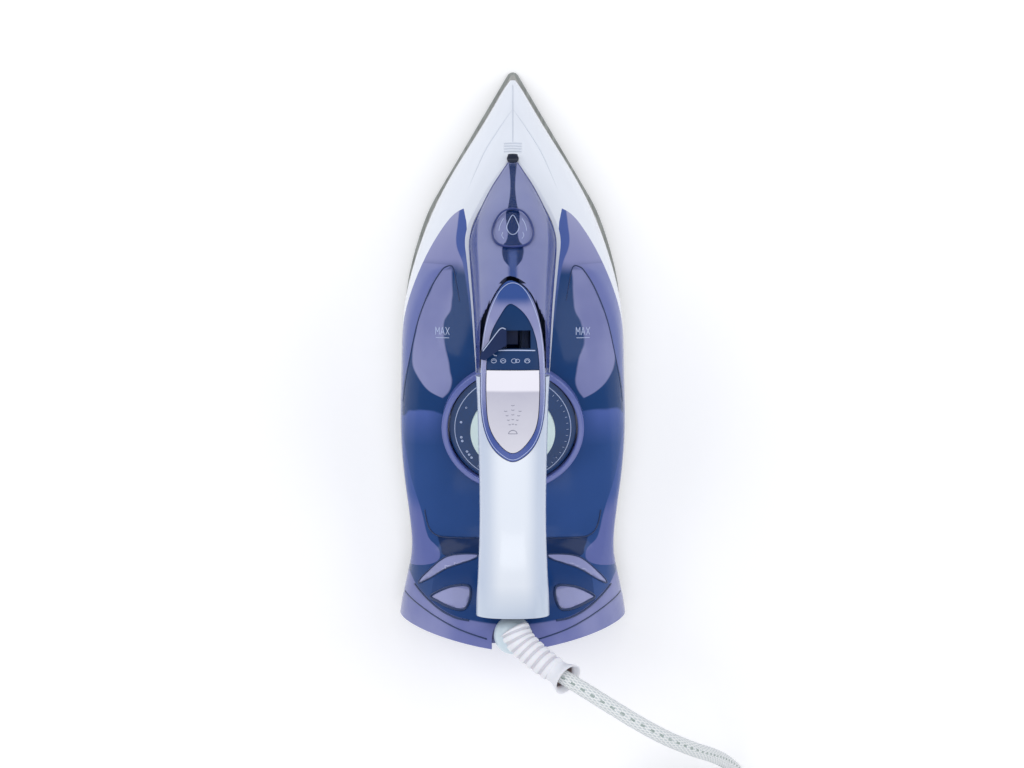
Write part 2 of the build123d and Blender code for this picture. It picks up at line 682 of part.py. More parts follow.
SPRAY_BASE, SPRAY_TOP = 119.0, 132.0
PORT_Z = 125.5
SHOT_BASE, SHOT_TOP = 121.5, 134.0
TRIGGER_TOP = 115.5
spray_barrel = barrel(PUMP_X, SPRAY_BASE, SPRAY_TOP)
save(spray_barrel, "spray_pump")
with BuildPart() as spray_piston:
    add(rod((PUMP_X, PUMP_Y, 123), (PUMP_X, PUMP_Y, 131), PISTON_RADIUS))
    add(rod((PUMP_X, PUMP_Y, 131), (PUMP_X, PUMP_Y, 138.2), 2.0))
save(spray_piston.part, "spray_piston")
save(spring(PUMP_X, SPRAY_TOP, 138.2), "spray_spring")

save(barrel(-PUMP_X, SHOT_BASE, SHOT_TOP), "shot_pump")
with BuildPart() as shot_piston:
    add(rod((-PUMP_X, PUMP_Y, TRIGGER_TOP), (-PUMP_X, PUMP_Y, 122.5), 2.0))
    add(rod((-PUMP_X, PUMP_Y, 122.5), (-PUMP_X, PUMP_Y, 131.0), PISTON_RADIUS))
save(shot_piston.part, "shot_piston")
save(spring(-PUMP_X, TRIGGER_TOP, SHOT_BASE), "shot_spring")

with BuildPart() as shot_trigger:
    with BuildSketch(Plane.XY.offset(107.0)):
        with Locations((0, PUMP_Y - 1)):
            RectangleRounded(13.0, 20.0, 3.0)
    extrude(amount=TRIGGER_TOP - 107.0)
    with BuildSketch(Plane.XY.offset(TRIGGER_TOP - 1.5)):
        with Locations((0, PUMP_Y - 1)):
            RectangleRounded(12.0, 23.6, 3.0)
    extrude(amount=1.5)
    with BuildSketch(Plane.YZ):
        with Locations((PUMP_Y - 1, 74.0)):
            Circle(34.0)
    extrude(amount=10, both=True, mode=Mode.SUBTRACT)
save(shot_trigger.part, "shot_trigger")

with BuildPart() as supply_lines:
    for side in (-1, 1):
        x = side * PUMP_X
        with BuildLine() as run_line:
            FilletPolyline((x, *LINE_LOW), (x, *LINE_TOP), (x, 2, PORT_Z), (x, PUMP_Y + 6.2, PORT_Z),
                           radius=[14, 9])
        run = run_line.wire()
        with BuildSketch(Plane(origin=run @ 0, z_dir=run % 0)):
            Circle(2.6)
            Circle(1.7, mode=Mode.SUBTRACT)
        sweep(path=run)
save(supply_lines.part, "supply_lines")

LINE_DIRECTION = (Vector(0, *LINE_TOP) - Vector(0, *LINE_LOW)).normalized()


def line_plane(along, x=0.0):
    """Plane across the two supply lines, that far above their lower end."""
    return Plane(origin=Vector(x, *LINE_LOW) + LINE_DIRECTION * along, x_dir=(1, 0, 0), z_dir=LINE_DIRECTION)


with BuildPart() as line_manifold:
    with BuildSketch(line_plane(-5)):
        RectangleRounded(18, 8, 2)
    extrude(amount=5)
    with BuildSketch(line_plane(-5)):
        Circle(2.9)
    extrude(amount=-1.2)
save(line_manifold.part, "line_manifold")

with BuildPart() as line_clip:
    with BuildSketch(line_plane(24)):
        RectangleRounded(19, 8.5, 2)
        with Locations((-PUMP_X, 0), (PUMP_X, 0)):
            Circle(2.6, mode=Mode.SUBTRACT)
    extrude(amount=8)
save(line_clip.part, "line_clip")

nozzle_back = (0, 90.5, 50.7)
manifold_foot = Vector(0, *LINE_LOW) - LINE_DIRECTION * 7
save(rod(tuple(manifold_foot), (0, 91.2, 52.4), 2.6), "spray_line")

with BuildPart() as spray_nozzle:
    add(rod((0, 90.5, 50.7), (0, 101.5, 48.95), 2.6))
    add(rod((0, 98, 49.5), (0, 103, 48.7), 0.6), mode=Mode.SUBTRACT)
save(spray_nozzle.part - rod(tuple(manifold_foot), (0, 91.2, 52.4), 2.6), "spray_nozzle")

# ---------------------------------------------------------------- handle
above_split = side_prism([(5, 124), (-25, 123.5), (-45, 122.5), (-65, 119.5), (-85, 113), (-102, 104), (-116, 94),
                          (-122, 88), (-150, 88), (-150, 160), (5, 160)])
grip_shell = grip_outer - grip_cavity
handle_upper = largest((grip_shell & above_split) - control_cut)
save(handle_upper, "handle_upper")

trigger_slot = block((-6.8, PUMP_Y - 11.3, 100), (6.8, PUMP_Y + 9.3, 118))
handle_lower = (grip_shell - above_split) + ((grip_outer & block((-30, -129, 60), (30, -126.8, 88))))

with BuildPart() as handle_screws:
    for y, z in ((-98, 93.5), (-88, 99.8)):
        add(rod((0, y, z + 2), (0, y - 5.5, z + 11), 2.0))
save(handle_screws.part, "handle_screws")
handle_lower = largest(handle_lower - trigger_slot - handle_screws.part)
save(handle_lower, "handle_lower")

# ---------------------------------------------------------------- heel compartment
with BuildPart() as terminal_block:
    with BuildSketch(Plane.XY.offset(30)):
        with Locations((0, -121)):
            RectangleRounded(34, 14, 2)
    extrude(amount=14)
    with Locations([(x, -121, 44) for x in (-11, 0, 11)]):
        CounterBoreHole(radius=1.6, counter_bore_radius=2.6, counter_bore_depth=4, depth=10)
save(terminal_block.part, "terminal_block")

save(rod((0, -137.4, 50), (0, -139.0, 76.9), CORD_RADIUS), "inner_lead")

with BuildPart() as cord_clamp:
    add(block((-11, -143.2, 60), (11, -131.8, 66)))
    add(rod((0, -137.4, 50), (0, -139.0, 76.9), CORD_RADIUS), mode=Mode.SUBTRACT)
save(largest(cord_clamp.part - behind_heel(WALL + 0.2)), "cord_clamp")

with BuildPart() as pilot_lamp:
    add(rod((-26, -120, 52), (-12, -120, 52), 3.0))
save(pilot_lamp.part, "pilot_lamp")

# ---------------------------------------------------------------- gland and guard
with BuildPart() as cord_gland:
    with Locations((0, GLAND_Y, GLAND_Z)):
        Sphere(GLAND_RADIUS)
    add(rod((0, GLAND_Y, 80.2), (0, GLAND_Y, GLAND_Z), 6.0))
    add(block((-20, -160, 60), (20, -120, 80.2)), mode=Mode.SUBTRACT)

guard_line = ThreePointArc((1.5, -138.5, 97.0), (11.0, -147.8, 101.5), (27.0, -158.5, 108.0))
mouth = Vector(*(guard_line @ 1))
mouth_way = guard_line % 1
with BuildPart() as guard_body:
    with BuildSketch(Plane(origin=guard_line @ 0, z_dir=guard_line % 0)):
        Circle(GUARD_RADIUS)
    sweep(path=guard_line)
with BuildPart() as guard_flare:
    with BuildSketch(Plane(origin=mouth - mouth_way * 5, z_dir=mouth_way)):
        Circle(GUARD_RADIUS)
    with BuildSketch(Plane(origin=mouth, z_dir=mouth_way)):
        Circle(GUARD_MOUTH_RADIUS)
    loft()
cord_start = Vector(*ROUTE[0])
cord_way = (Vector(*ROUTE[1]) - cord_start).normalized()
guard_hollow = rod(tuple(cord_start), tuple(cord_start + cord_way * 14), CORD_RADIUS + 1.6)
cord_guard = largest(guard_body.part + guard_flare.part - guard_hollow - cord_gland.part)
save(cord_gland.part, "cord_gland")
save(cord_guard, "cord_guard")


# ---------------------------------------------------------------- free cord, coil and plug
def corner_radii(points):
    """Arc radius at each corner: 0.45 of the shorter run over the tangent of half the turn."""
    radii = []
    for before, at, after in zip(points, points[1:], points[2:]):
        come, go = Vector(*at) - Vector(*before), Vector(*after) - Vector(*at)
        turn = math.radians(come.get_angle(go))
        radii.append(0.45 * min(come.length, go.length) / math.tan(turn / 2))
    return radii


def cord_solid(points):
    """Plain tube along straight runs joined by tangent arcs."""
    radii = corner_radii(points)
    path = FilletPolyline(*points, radius=radii)
    with BuildPart(mode=Mode.PRIVATE) as tube:
        with BuildSketch(Plane(origin=path @ 0, z_dir=path % 0)):
            Circle(CORD_RADIUS)
        sweep(path=path)
    expected = math.pi * CORD_RADIUS**2 * path.length
    print("cord radii", [round(r, 1) for r in radii], "length", round(path.length, 1),
          "volume share", round(tube.part.volume / expected, 4))
    return tube.part


cord_tube = cord_solid(ROUTE)
save(cord_tube, "cord_tube")
cord_tail = cord_solid(TAIL)

with BuildPart() as cord_coil:
    with BuildSketch(Plane.XZ.offset(-COIL_Y)):
        with Locations((COIL_X, 0)):
            Polygon((COIL_RADIUS - 11.2, 1.0), (COIL_RADIUS + 11.2, 1.0), (COIL_RADIUS + 11.2, 14.0),
                    (COIL_RADIUS + 4.6, 21.5), (COIL_RADIUS - 4.6, 21.5), (COIL_RADIUS - 11.2, 14.0), align=None)
    revolve(axis=Axis((COIL_X, COIL_Y, 0), (0, 0, 1)))
coil = cord_coil.part - cord_tube - cord_tail
save(largest(coil), "cord_coil")
save(cord_tail, "cord_tail")

with BuildPart() as coil_tie:
    with BuildSketch(Plane.XZ.offset(-COIL_Y)):
        with Locations((COIL_X - COIL_RADIUS, 11.4)):
            RectangleRounded(25.4, 22.7, 1.5)
            Rectangle(23.0, 20.9, mode=Mode.SUBTRACT)
    extrude(amount=4, both=True)
save(coil_tie.part, "coil_tie")

plug_end = Vector(*TAIL[-1])
with BuildPart() as plug_body:
    with BuildSketch(Plane.XZ.offset(-plug_end.Y)):
        with BuildLine():
            Polyline((plug_end.X + 8, PLUG_AXIS_Z), (plug_end.X + 8, PLUG_AXIS_Z + 5.6),
                     (plug_end.X - 16, PLUG_AXIS_Z + 8.0), (plug_end.X - 24, PLUG_AXIS_Z + 16.5),
                     (plug_end.X - 28, PLUG_AXIS_Z + PLUG_RADIUS), (plug_end.X - 44, PLUG_AXIS_Z + PLUG_RADIUS),
                     (plug_end.X - 44, PLUG_AXIS_Z), close=True)
        make_face()
    revolve(axis=Axis((plug_end.X, plug_end.Y, PLUG_AXIS_Z), (1, 0, 0)))
plug_face_x = plug_end.X - 44
plug = plug_body.part - cord_tail
for side in (-1, 1):
    slot = block((plug_face_x - 1, plug_end.Y - 2.6, PLUG_AXIS_Z + side * 16 - 2.0),
                 (plug_face_x + 14, plug_end.Y + 2.6, PLUG_AXIS_Z + side * 16 + 2.0 + side * 2))
    plug = plug - slot
plug = plug - rod((plug_face_x - 1, plug_end.Y + 7, PLUG_AXIS_Z), (plug_face_x + 16, plug_end.Y + 7, PLUG_AXIS_Z), 2.4)

with BuildPart() as plug_pins:
    for side in (-1, 1):
        y = plug_end.Y
        z = PLUG_AXIS_Z + side * PIN_PITCH / 2
        add(rod((plug_face_x + 6, y, z), (plug_face_x - PIN_LENGTH, y, z), PIN_RADIUS))
    chamfer(plug_pins.faces().group_by(Axis.X)[0].edges(), length=1.0)
save(plug_pins.part, "plug_pins")

with BuildPart() as plug_earth:
    for side in (-1, 1):
        z = PLUG_AXIS_Z + side * 15.6
        add(block((plug_face_x + 0.5, plug_end.Y - 2.2, z - 0.5), (plug_face_x + 14.4, plug_end.Y + 2.2, z + 0.5)))
save(plug_earth.part, "plug_earth")
save(largest(plug - plug_pins.part - plug_earth.part), "plug_body")
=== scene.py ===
"""Looks of the steam iron: everything is in metres in the CAD frame, +Y to the tip and +Z up."""

import math

import bmesh
import bpy
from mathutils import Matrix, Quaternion, Vector
from mathutils.bvhtree import BVHTree
from mathutils.geometry import delaunay_2d_cdt


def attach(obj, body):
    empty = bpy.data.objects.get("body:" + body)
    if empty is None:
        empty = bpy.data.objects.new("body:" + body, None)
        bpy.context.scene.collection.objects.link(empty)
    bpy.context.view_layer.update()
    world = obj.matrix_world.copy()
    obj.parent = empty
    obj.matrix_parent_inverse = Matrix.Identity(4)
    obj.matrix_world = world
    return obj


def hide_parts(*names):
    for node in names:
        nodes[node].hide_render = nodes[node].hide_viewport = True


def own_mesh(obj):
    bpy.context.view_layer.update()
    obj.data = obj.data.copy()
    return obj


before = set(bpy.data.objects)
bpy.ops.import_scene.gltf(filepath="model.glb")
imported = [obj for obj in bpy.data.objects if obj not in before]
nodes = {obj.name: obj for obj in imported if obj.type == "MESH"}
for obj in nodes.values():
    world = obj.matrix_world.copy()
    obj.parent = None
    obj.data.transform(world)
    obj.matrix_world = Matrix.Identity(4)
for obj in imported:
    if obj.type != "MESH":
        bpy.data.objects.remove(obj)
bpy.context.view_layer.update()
MM = 0.001

# ---------------------------------------------------------------- camera
VIEW_LEAN = math.radians(4.0)  # the camera looks down, leaning this much towards the heel
camera_data = bpy.data.cameras.new("camera")
camera_data.lens = 74.16
camera_data.sensor_width = 36.0
camera_data.clip_start = 0.05
camera_data.clip_end = 20.0
camera = bpy.data.objects.new("camera", camera_data)
bpy.context.collection.objects.link(camera)
camera.location = (-0.0004, 0.0596, 1.1373)
camera.rotation_euler = (-VIEW_LEAN, 0.0, 0.0)
bpy.context.scene.camera = camera
bpy.context.scene.view_settings.view_transform = "Standard"


# ---------------------------------------------------------------- material helpers
class Shader:
    """A Principled material under construction, with short calls for the nodes used most."""

    def __init__(self, name, **sockets):
        self.material = bpy.data.materials.new(name)
        self.material.use_nodes = True
        self.tree = self.material.node_tree
        self.bsdf = self.tree.nodes["Principled BSDF"]
        for key, value in sockets.items():
            self.bsdf.inputs[key.replace("_", " ")].default_value = value
        self.coords = self.node("ShaderNodeTexCoord")

    def node(self, kind, **values):
        made = self.tree.nodes.new(kind)
        for key, value in values.items():
            setattr(made, key, value)
        return made

    def link(self, a, b):
        self.tree.links.new(a, b)

    def feed(self, node, socket, value):
        """Sets a socket to a value, or links it when the value is another node's output."""
        if isinstance(value, bpy.types.NodeSocket):
            self.link(value, node.inputs[socket])
        else:
            node.inputs[socket].default_value = value

    def noise(self, scale, detail=2.0, distort=0.0, stretch=(1, 1, 1)):
        mapping = self.node("ShaderNodeMapping")
        mapping.inputs["Scale"].default_value = stretch
        self.link(self.coords.outputs["Object"], mapping.inputs["Vector"])
        noise = self.node("ShaderNodeTexNoise")
        self.link(mapping.outputs["Vector"], noise.inputs["Vector"])
        settings = (("Scale", scale), ("Detail", detail), ("Roughness", 0.5), ("Distortion", distort))
        for socket, value in settings:
            noise.inputs[socket].default_value = value
        return noise.outputs["Fac"]

    def math(self, operation, a, b=0.0):
        made = self.node("ShaderNodeMath", operation=operation)
        for i, value in enumerate((a, b)):
            self.feed(made, i, value)
        return made.outputs[0]

    def spread(self, value, low, high, to_low=0.0, to_high=1.0, smooth=False):
        """Maps a value from one range to another, clamped."""
        made = self.node("ShaderNodeMapRange", interpolation_type="SMOOTHSTEP" if smooth else "LINEAR")
        for i, number in enumerate((value, low, high, to_low, to_high)):
            self.feed(made, i, number)
        return made.outputs[0]

    def mix(self, factor, a, b):
        made = self.node("ShaderNodeMix", data_type="RGBA")
        self.feed(made, 0, factor)
        for socket, value in ((6, a), (7, b)):
            self.feed(made, socket, value if isinstance(value, bpy.types.NodeSocket) else (*value, 1.0))
        return made.outputs[2]

    def axes(self):
        """Object coordinates in metres, as three outputs."""
        split = self.node("ShaderNodeSeparateXYZ")
        self.link(self.coords.outputs["Object"], split.inputs[0])
        return split.outputs

    def profile(self, along, points, top=80.0):
        """A smooth curve through (place, value) points, read at a place along it."""
        points = sorted(points)
        low, high = points[0][0], points[-1][0]
        made = self.node("ShaderNodeFloatCurve")
        curve = made.mapping.curves[0]
        while len(curve.points) < len(points):
            curve.points.new(0.5, 0.5)
        for point, (place, value) in zip(curve.points, points):
            point.location = ((place - low) / (high - low), value / top)
        made.mapping.update()
        self.feed(made, "Value", self.spread(along, low, high))
        return self.math("MULTIPLY", made.outputs[0], top)

    def beyond(self, value, limit, soft=0.8):
        """1 where value is above the limit, 0 below, with an edge that wide."""
        return self.spread(self.math("SUBTRACT", value, limit), -soft / 2, soft / 2, smooth=True)

    def both(self, a, b):
        return self.math("MULTIPLY", a, b)

    def plan(self):
        """Distance from the middle and place along the iron, in millimetres."""
        x, y, _ = self.axes()
        return self.math("ABSOLUTE", self.math("MULTIPLY", x, 1000.0)), self.math("MULTIPLY", y, 1000.0)

    def colour(self, value):
        self.feed(self.bsdf, "Base Color", value)

    def roughness(self, value):
        self.feed(self.bsdf, "Roughness", value)

    def bump(self, height, distance, strength=1.0):
        made = self.node("ShaderNodeBump")
        made.inputs["Strength"].default_value = strength
        made.inputs["Distance"].default_value = distance
        self.link(height, made.inputs["Height"])
        self.link(made.outputs["Normal"], self.bsdf.inputs["Normal"])


def srgb(code):
    """Linear colour of a hexadecimal sRGB code."""
    channels = [int(code[i:i + 2], 16) / 255 for i in (0, 2, 4)]
    return tuple(c / 12.92 if c <= 0.04045 else ((c + 0.055) / 1.055) ** 2.4 for c in channels)


def shade(colour, factor):
    return tuple(min(1.0, c * factor) for c in colour)


def moulded(name, code, rough, vary, grain=0.00002, **sockets):
    """Moulded plastic: faint cloudiness in the colour, uneven gloss and a fine surface grain."""
    colour = srgb(code)
    s = Shader(name, **sockets)
    cloud = s.noise(35.0, 3.0)
    s.colour(s.mix(s.spread(cloud, 0.3, 0.7), shade(colour, 1 - vary), shade(colour, 1 + vary)))
    s.roughness(s.spread(s.noise(160.0, 4.0), 0.3, 0.7, rough * 0.85, rough * 1.2))
    s.bump(s.noise(1400.0, 2.0), grain, 0.5)
    return s.material


def metal(name, code, rough, stretch=(1, 1, 1), grain_scale=900.0, grain=0.00003):
    """Metal with a directional grain and slight tarnish."""
    colour = srgb(code)
    s = Shader(name, Metallic=1.0)
    lines = s.noise(grain_scale, 3.0, stretch=stretch)
    tarnish = s.noise(25.0, 4.0)
    base = s.mix(s.spread(tarnish, 0.35, 0.7), shade(colour, 0.85), colour)
    s.colour(s.mix(s.spread(lines, 0.3, 0.7, 0.0, 0.4), base, shade(colour, 0.7)))
    s.roughness(s.spread(lines, 0.25, 0.75, rough * 0.8, rough * 1.3))
    s.bump(lines, grain, 0.4)
    return s.material


def clear_plastic(name, code, deep, transmission):
    """Tinted clear plastic with faint flow lines from moulding."""
    colour, dark = srgb(code), srgb(deep)
    s = Shader(name, Transmission_Weight=transmission, IOR=1.45, Coat_Weight=0.25, Coat_Roughness=0.04)
    flow = s.noise(18.0, 3.0, distort=0.6, stretch=(1.0, 0.35, 1.0))
    s.colour(s.mix(s.spread(flow, 0.3, 0.7), dark, colour))
    s.roughness(s.spread(s.noise(120.0, 3.0), 0.3, 0.7, 0.056, 0.112))
    s.bump(s.noise(60.0, 2.0), 0.00005, 0.3)
    return s.material


# ---------------------------------------------------------------- mesh helpers
def add_object(name, data, body="iron", material=None):
    """A smooth-shaded piece that rides on a body, with a material when one is given."""
    piece = bpy.data.objects.new(name, data)
    bpy.context.collection.objects.link(piece)
    if material is not None:
        data.materials.append(material)
    data.polygons.foreach_set("use_smooth", [True] * len(data.polygons))
    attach(piece, body)
    return piece


def mesh_from(name, vertices, faces):
    mesh = bpy.data.meshes.new(name)
    mesh.from_pydata([tuple(v) for v in vertices], [], faces)
    mesh.validate()
    mesh.update()
    tool = bmesh.new()
    tool.from_mesh(mesh)
    bmesh.ops.recalc_face_normals(tool, faces=tool.faces)
    tool.to_mesh(mesh)
    tool.free()
    return mesh


def rings_mesh(name, rings, loop=False):
    """Closed rings of equal point count joined into a tube, capped or joined end to end."""
    count = len(rings[0])
    vertices = [p for ring in rings for p in ring]
    faces = []
    last = len(rings) if loop else len(rings) - 1
    for i in range(last):
        a, b = i * count, ((i + 1) % len(rings)) * count
        for j in range(count):
            k = (j + 1) % count
            faces.append((a + j, a + k, b + k, b + j))
    if not loop:
        faces.append(tuple(range(count))[::-1])
        faces.append(tuple(range((len(rings) - 1) * count, len(rings) * count)))
    return mesh_from(name, vertices, faces)


def tube_rings(line, radius, sides, closed=False):
    """Rings in metres round a line in millimetres; radius may be a function of the share along it."""
    rings = []
    count = len(line)
    side = None
    for i, at in enumerate(line):
        ahead = line[(i + 1) % count] if closed or i < count - 1 else line[i]
        behind = line[i - 1] if closed or i > 0 else line[i]
        way = (ahead - behind).normalized()
        if side is None:
            side = way.orthogonal().normalized()
        side = (side - way * side.dot(way)).normalized()
        other = way.cross(side)
        r = radius(i / (count - 1)) if callable(radius) else radius
        rings.append([(at + (side * math.cos(a) + other * math.sin(a)) * r) * MM
                      for a in (math.tau * k / sides for k in range(sides))])
    return rings


# ---------------------------------------------------------------- the free cord
CORD_RADIUS = 3.75
CORD_SIDES = 20
BRAID_PITCH = 0.0042  # metres between crossings of the braid
TABLE_LINE = CORD_RADIUS + 0.05
ROUTE = [(19.9, -154.6, 105.5), (46.5, -170.0, 113.5), (71.0, -185.5, 110.5), (91.0, -198.0, 91.5),
         (103.0, -207.0, 66.0), (113.0, -217.0, 40.0), (123.0, -231.0, 15.5), (131.0, -258.0, TABLE_LINE)]
COIL_CENTRE = (90.0, -286.0)
TURN_STEPS = 24  # control points in each turn of the coil
TAIL = [(78.0, -326.2, 17.8), (66.0, -325.6, 18.2), (54.0, -325.2, 18.5), (36.0, -325.0, 18.6)]
LAYER = 7.5  # one cord thickness
NEST = 6.5  # rise of a turn that lies between two turns under it
COIL_TURNS = 6.25
FLOOR_TURNS = 3  # turns lying on the floor, wound inwards; the others lie on them, wound outwards
OUTER_RADIUS, INNER_RADIUS = 44.0, 29.0
MOVE = 0.17  # share of a turn in which the cord moves to its next lane


def coil_points():
    """Control points of the wound part, clockwise from above: inwards, outwards, then half a turn on top."""
    middle_x, middle_y = COIL_CENTRE
    points = []
    total = int(COIL_TURNS * TURN_STEPS)
    for i in range(total + 1):
        turns = i / TURN_STEPS
        whole, part = int(turns), turns % 1.0
        z = TABLE_LINE
        if turns < FLOOR_TURNS:
            radius = OUTER_RADIUS - LAYER * whole
            move = LAYER * smooth_step((part - 0.83) / MOVE)
            if whole < FLOOR_TURNS - 1:
                radius -= move
            else:
                z += move
        else:
            shift = turns - FLOOR_TURNS
            radius = INNER_RADIUS + LAYER * sum(smooth_step((shift - k - 0.66) / MOVE) for k in range(2))
            rise = smooth_step((shift - 2.58) / MOVE)
            radius -= CORD_RADIUS * rise
            z += LAYER + NEST * rise
        angle = -math.tau * turns
        points.append((middle_x + radius * math.cos(angle), middle_y + radius * math.sin(angle), z))
    return points


def smooth_step(t):
    t = min(1.0, max(0.0, t))
    return t * t * (3 - 2 * t)


def cord_material():
    """White braid over the lead, with two rows of grey-green dashes woven along it."""
    s = Shader("cord_braid", Sheen_Weight=0.35, Sheen_Roughness=0.5, Specular_IOR_Level=0.25)
    split = s.node("ShaderNodeSeparateXYZ")
    s.link(s.coords.outputs["UV"], split.inputs[0])
    along = s.math("DIVIDE", split.outputs[0], BRAID_PITCH)
    around = split.outputs[1]
    strands = 16.0
    waves = []
    for way in ("ADD", "SUBTRACT"):
        turns = s.math(way, s.math("MULTIPLY", around, strands), along)
        waves.append(s.math("SINE", s.math("MULTIPLY", turns, math.tau)))
    one, two = waves
    weave = s.math("MAXIMUM", one, two)
    over = s.spread(s.math("MULTIPLY", one, two), -1.0, 1.0)
    base = s.mix(s.spread(weave, 0.1, 0.95), srgb("d8e0e4"), srgb("f8fafb"))
    step = s.math("FRACT", s.math("MULTIPLY", along, 0.76))
    rows = s.math("FRACT", s.math("ADD", s.math("MULTIPLY", around, 4.0), s.math("MULTIPLY", along, 0.01)))
    band = s.math("LESS_THAN", s.math("ABSOLUTE", s.math("SUBTRACT", rows, 0.5)), 0.1)
    dash = s.math("MULTIPLY", band, s.math("LESS_THAN", step, 0.42))
    fade = s.math("MULTIPLY", dash, s.spread(s.noise(700.0, 2.0), 0.3, 0.6, 0.5, 0.9))
    s.colour(s.mix(fade, base, srgb("93a6a1")))
    s.roughness(s.spread(over, 0.0, 1.0, 0.75, 0.55))
    s.bump(s.math("ADD", weave, s.math("MULTIPLY", s.noise(2500.0, 2.0), 0.35)), 0.00025, 0.9)
    return s.material


cord_data = bpy.data.curves.new("cord_route", "CURVE")
cord_data.dimensions = "3D"
spline = cord_data.splines.new("NURBS")
cord_points = [*ROUTE, *coil_points(), *TAIL]
spline.points.add(len(cord_points) - 1)
for point, place in zip(spline.points, cord_points):
    point.co = (place[0] * MM, place[1] * MM, place[2] * MM, 1.0)
spline.order_u = 3
spline.use_endpoint_u = True
spline.resolution_u = 8
route = bpy.data.objects.new("cord_route", cord_data)
bpy.context.collection.objects.link(route)
route_mesh = bpy.data.meshes.new_from_object(route)
cord_line = [vertex.co.copy() for vertex in route_mesh.vertices]
bpy.data.objects.remove(route)


def cord_mesh(line, radius, sides):
    """The braided tube along a line, with metres along it and the share round it as its UV map."""
    rings = tube_rings([p / MM for p in line], radius / MM, sides)
    mesh = bpy.data.meshes.new("mains_cord")
    faces, places = [], []
    metres = 0.0
    for i in range(len(rings) - 1):
        ahead = metres + (line[i + 1] - line[i]).length
        for k in range(sides):
            m = (k + 1) % sides
            faces.append((i * sides + k, i * sides + m, (i + 1) * sides + m, (i + 1) * sides + k))
            here, there = k / sides, (k + 1) / sides
            places += [(metres, here), (metres, there), (ahead, there), (ahead, here)]
        metres = ahead
    faces.append(tuple(range(sides))[::-1])
    faces.append(tuple(range((len(rings) - 1) * sides, len(rings) * sides)))
    places += [(0.0, k / sides) for k in range(sides)][::-1] + [(metres, k / sides) for k in range(sides)]
    mesh.from_pydata([v for ring in rings for v in ring], [], faces)
    layer = mesh.uv_layers.new(name="along_and_round")
    for loop, place in zip(layer.data, places):
        loop.uv = place
    mesh.update()
    return mesh


mains_cord = add_object("mains_cord", cord_mesh(cord_line, CORD_RADIUS * MM, CORD_SIDES),
                        material=cord_material())
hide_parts("cord_tube", "cord_coil", "cord_tail")

# ---------------------------------------------------------------- materials of the CAD pieces
sole_metal = metal("sole_steel", "9da19f", 0.45, (1.0, 0.06, 1.0))
cast_metal = metal("cast_aluminium", "b5b5b2", 0.5, grain_scale=300.0, grain=0.0001)
heater_metal = metal("heater_tube", "76716c", 0.45)
zinc_metal = metal("zinc_steel", "bdbdb6", 0.3)
brass_metal = metal("brass", "c9a75d", 0.25, (1.0, 1.0, 0.1))
white_shell = moulded("white_shell", "e6ebf5", 0.22, 0.015, Coat_Weight=0.4, Coat_Roughness=0.06)
button_white = moulded("button_white", "e6e6ee", 0.38, 0.02, grain=0.00004)
dark_parts = moulded("dark_parts", "111c33", 0.45, 0.15, Specular_IOR_Level=0.3)
lever_navy = moulded("lever_navy", "0e2450", 0.4, 0.1, Specular_IOR_Level=0.2)
panel_navy = moulded("panel_navy", "0a3363", 0.35, 0.08, Specular_IOR_Level=0.2)
pump_blue = moulded("pump_blue", "17406f", 0.35, 0.12)
silicone = moulded("silicone", "c06046", 0.6, 0.08, grain=0.00006)
rubber_pad = moulded("rubber_pad", "20263c", 0.7, 0.1, grain=0.00008)
white_rubber = moulded("white_rubber", "eff0f4", 0.5, 0.02, grain=0.00005)
plug_white = moulded("plug_white", "e8e9ed", 0.5, 0.03, grain=0.00006)
ceramic = moulded("ceramic", "ded9cc", 0.45, 0.05, grain=0.00005)
dial_pale = moulded("dial_pale", "d3e6e6", 0.3, 0.03)
dial_blue = moulded("dial_blue", "123a6c", 0.2, 0.1, Coat_Weight=0.5, Coat_Roughness=0.05)
collar_blue = clear_plastic("collar_blue", "6470b2", "5563a8", 0.0)


def bezel_material():
    """The control bezel: lavender in front, bluer round the button's rear."""
    s = Shader("bezel_violet", Alpha=0.85, Specular_IOR_Level=0.35, Coat_Weight=0.2, Coat_Roughness=0.12)
    side, along = s.plan()
    cloud = s.spread(s.noise(40.0, 3.0), 0.3, 0.7)
    front = s.mix(cloud, srgb("8389bd"), srgb("999dcb"))
    colour = s.mix(s.spread(along, -34.0, 2.0), srgb("4a5fa9"), front)
    colour = s.mix(s.both(s.beyond(along, 28.0, 6.0), s.beyond(9.0, side, 6.0)), colour, srgb("31529a"))
    s.colour(colour)
    s.roughness(s.spread(s.noise(110.0, 3.0), 0.3, 0.7, 0.12, 0.22))
    s.bump(s.noise(60.0, 2.0), 0.00004, 0.3)
    return s.material


def button_material():
    """The spray button: painted light on its flat front, then painted shade in the dish, lightening to the
    rear.
    """
    s = Shader("button_white", Specular_IOR_Level=0.35)
    _, along = s.plan()
    # painted shade in the dish and painted light on the flat front, placed by position along the button
    dish = s.mix(s.spread(along, -42.0, -14.0), srgb("d2d1dc"), srgb("b9b8c9"))
    colour = s.mix(s.beyond(along, -13.4, 1.6), dish, srgb("e9e7f2"))
    s.colour(s.mix(s.spread(s.noise(60.0, 3.0), 0.3, 0.7, 0.0, 0.12), colour, srgb("f2f2f7")))
    s.roughness(s.spread(s.noise(200.0, 3.0), 0.3, 0.7, 0.4, 0.55))
    s.bump(s.noise(1500.0, 2.0), 0.00004, 0.4)
    return s.material


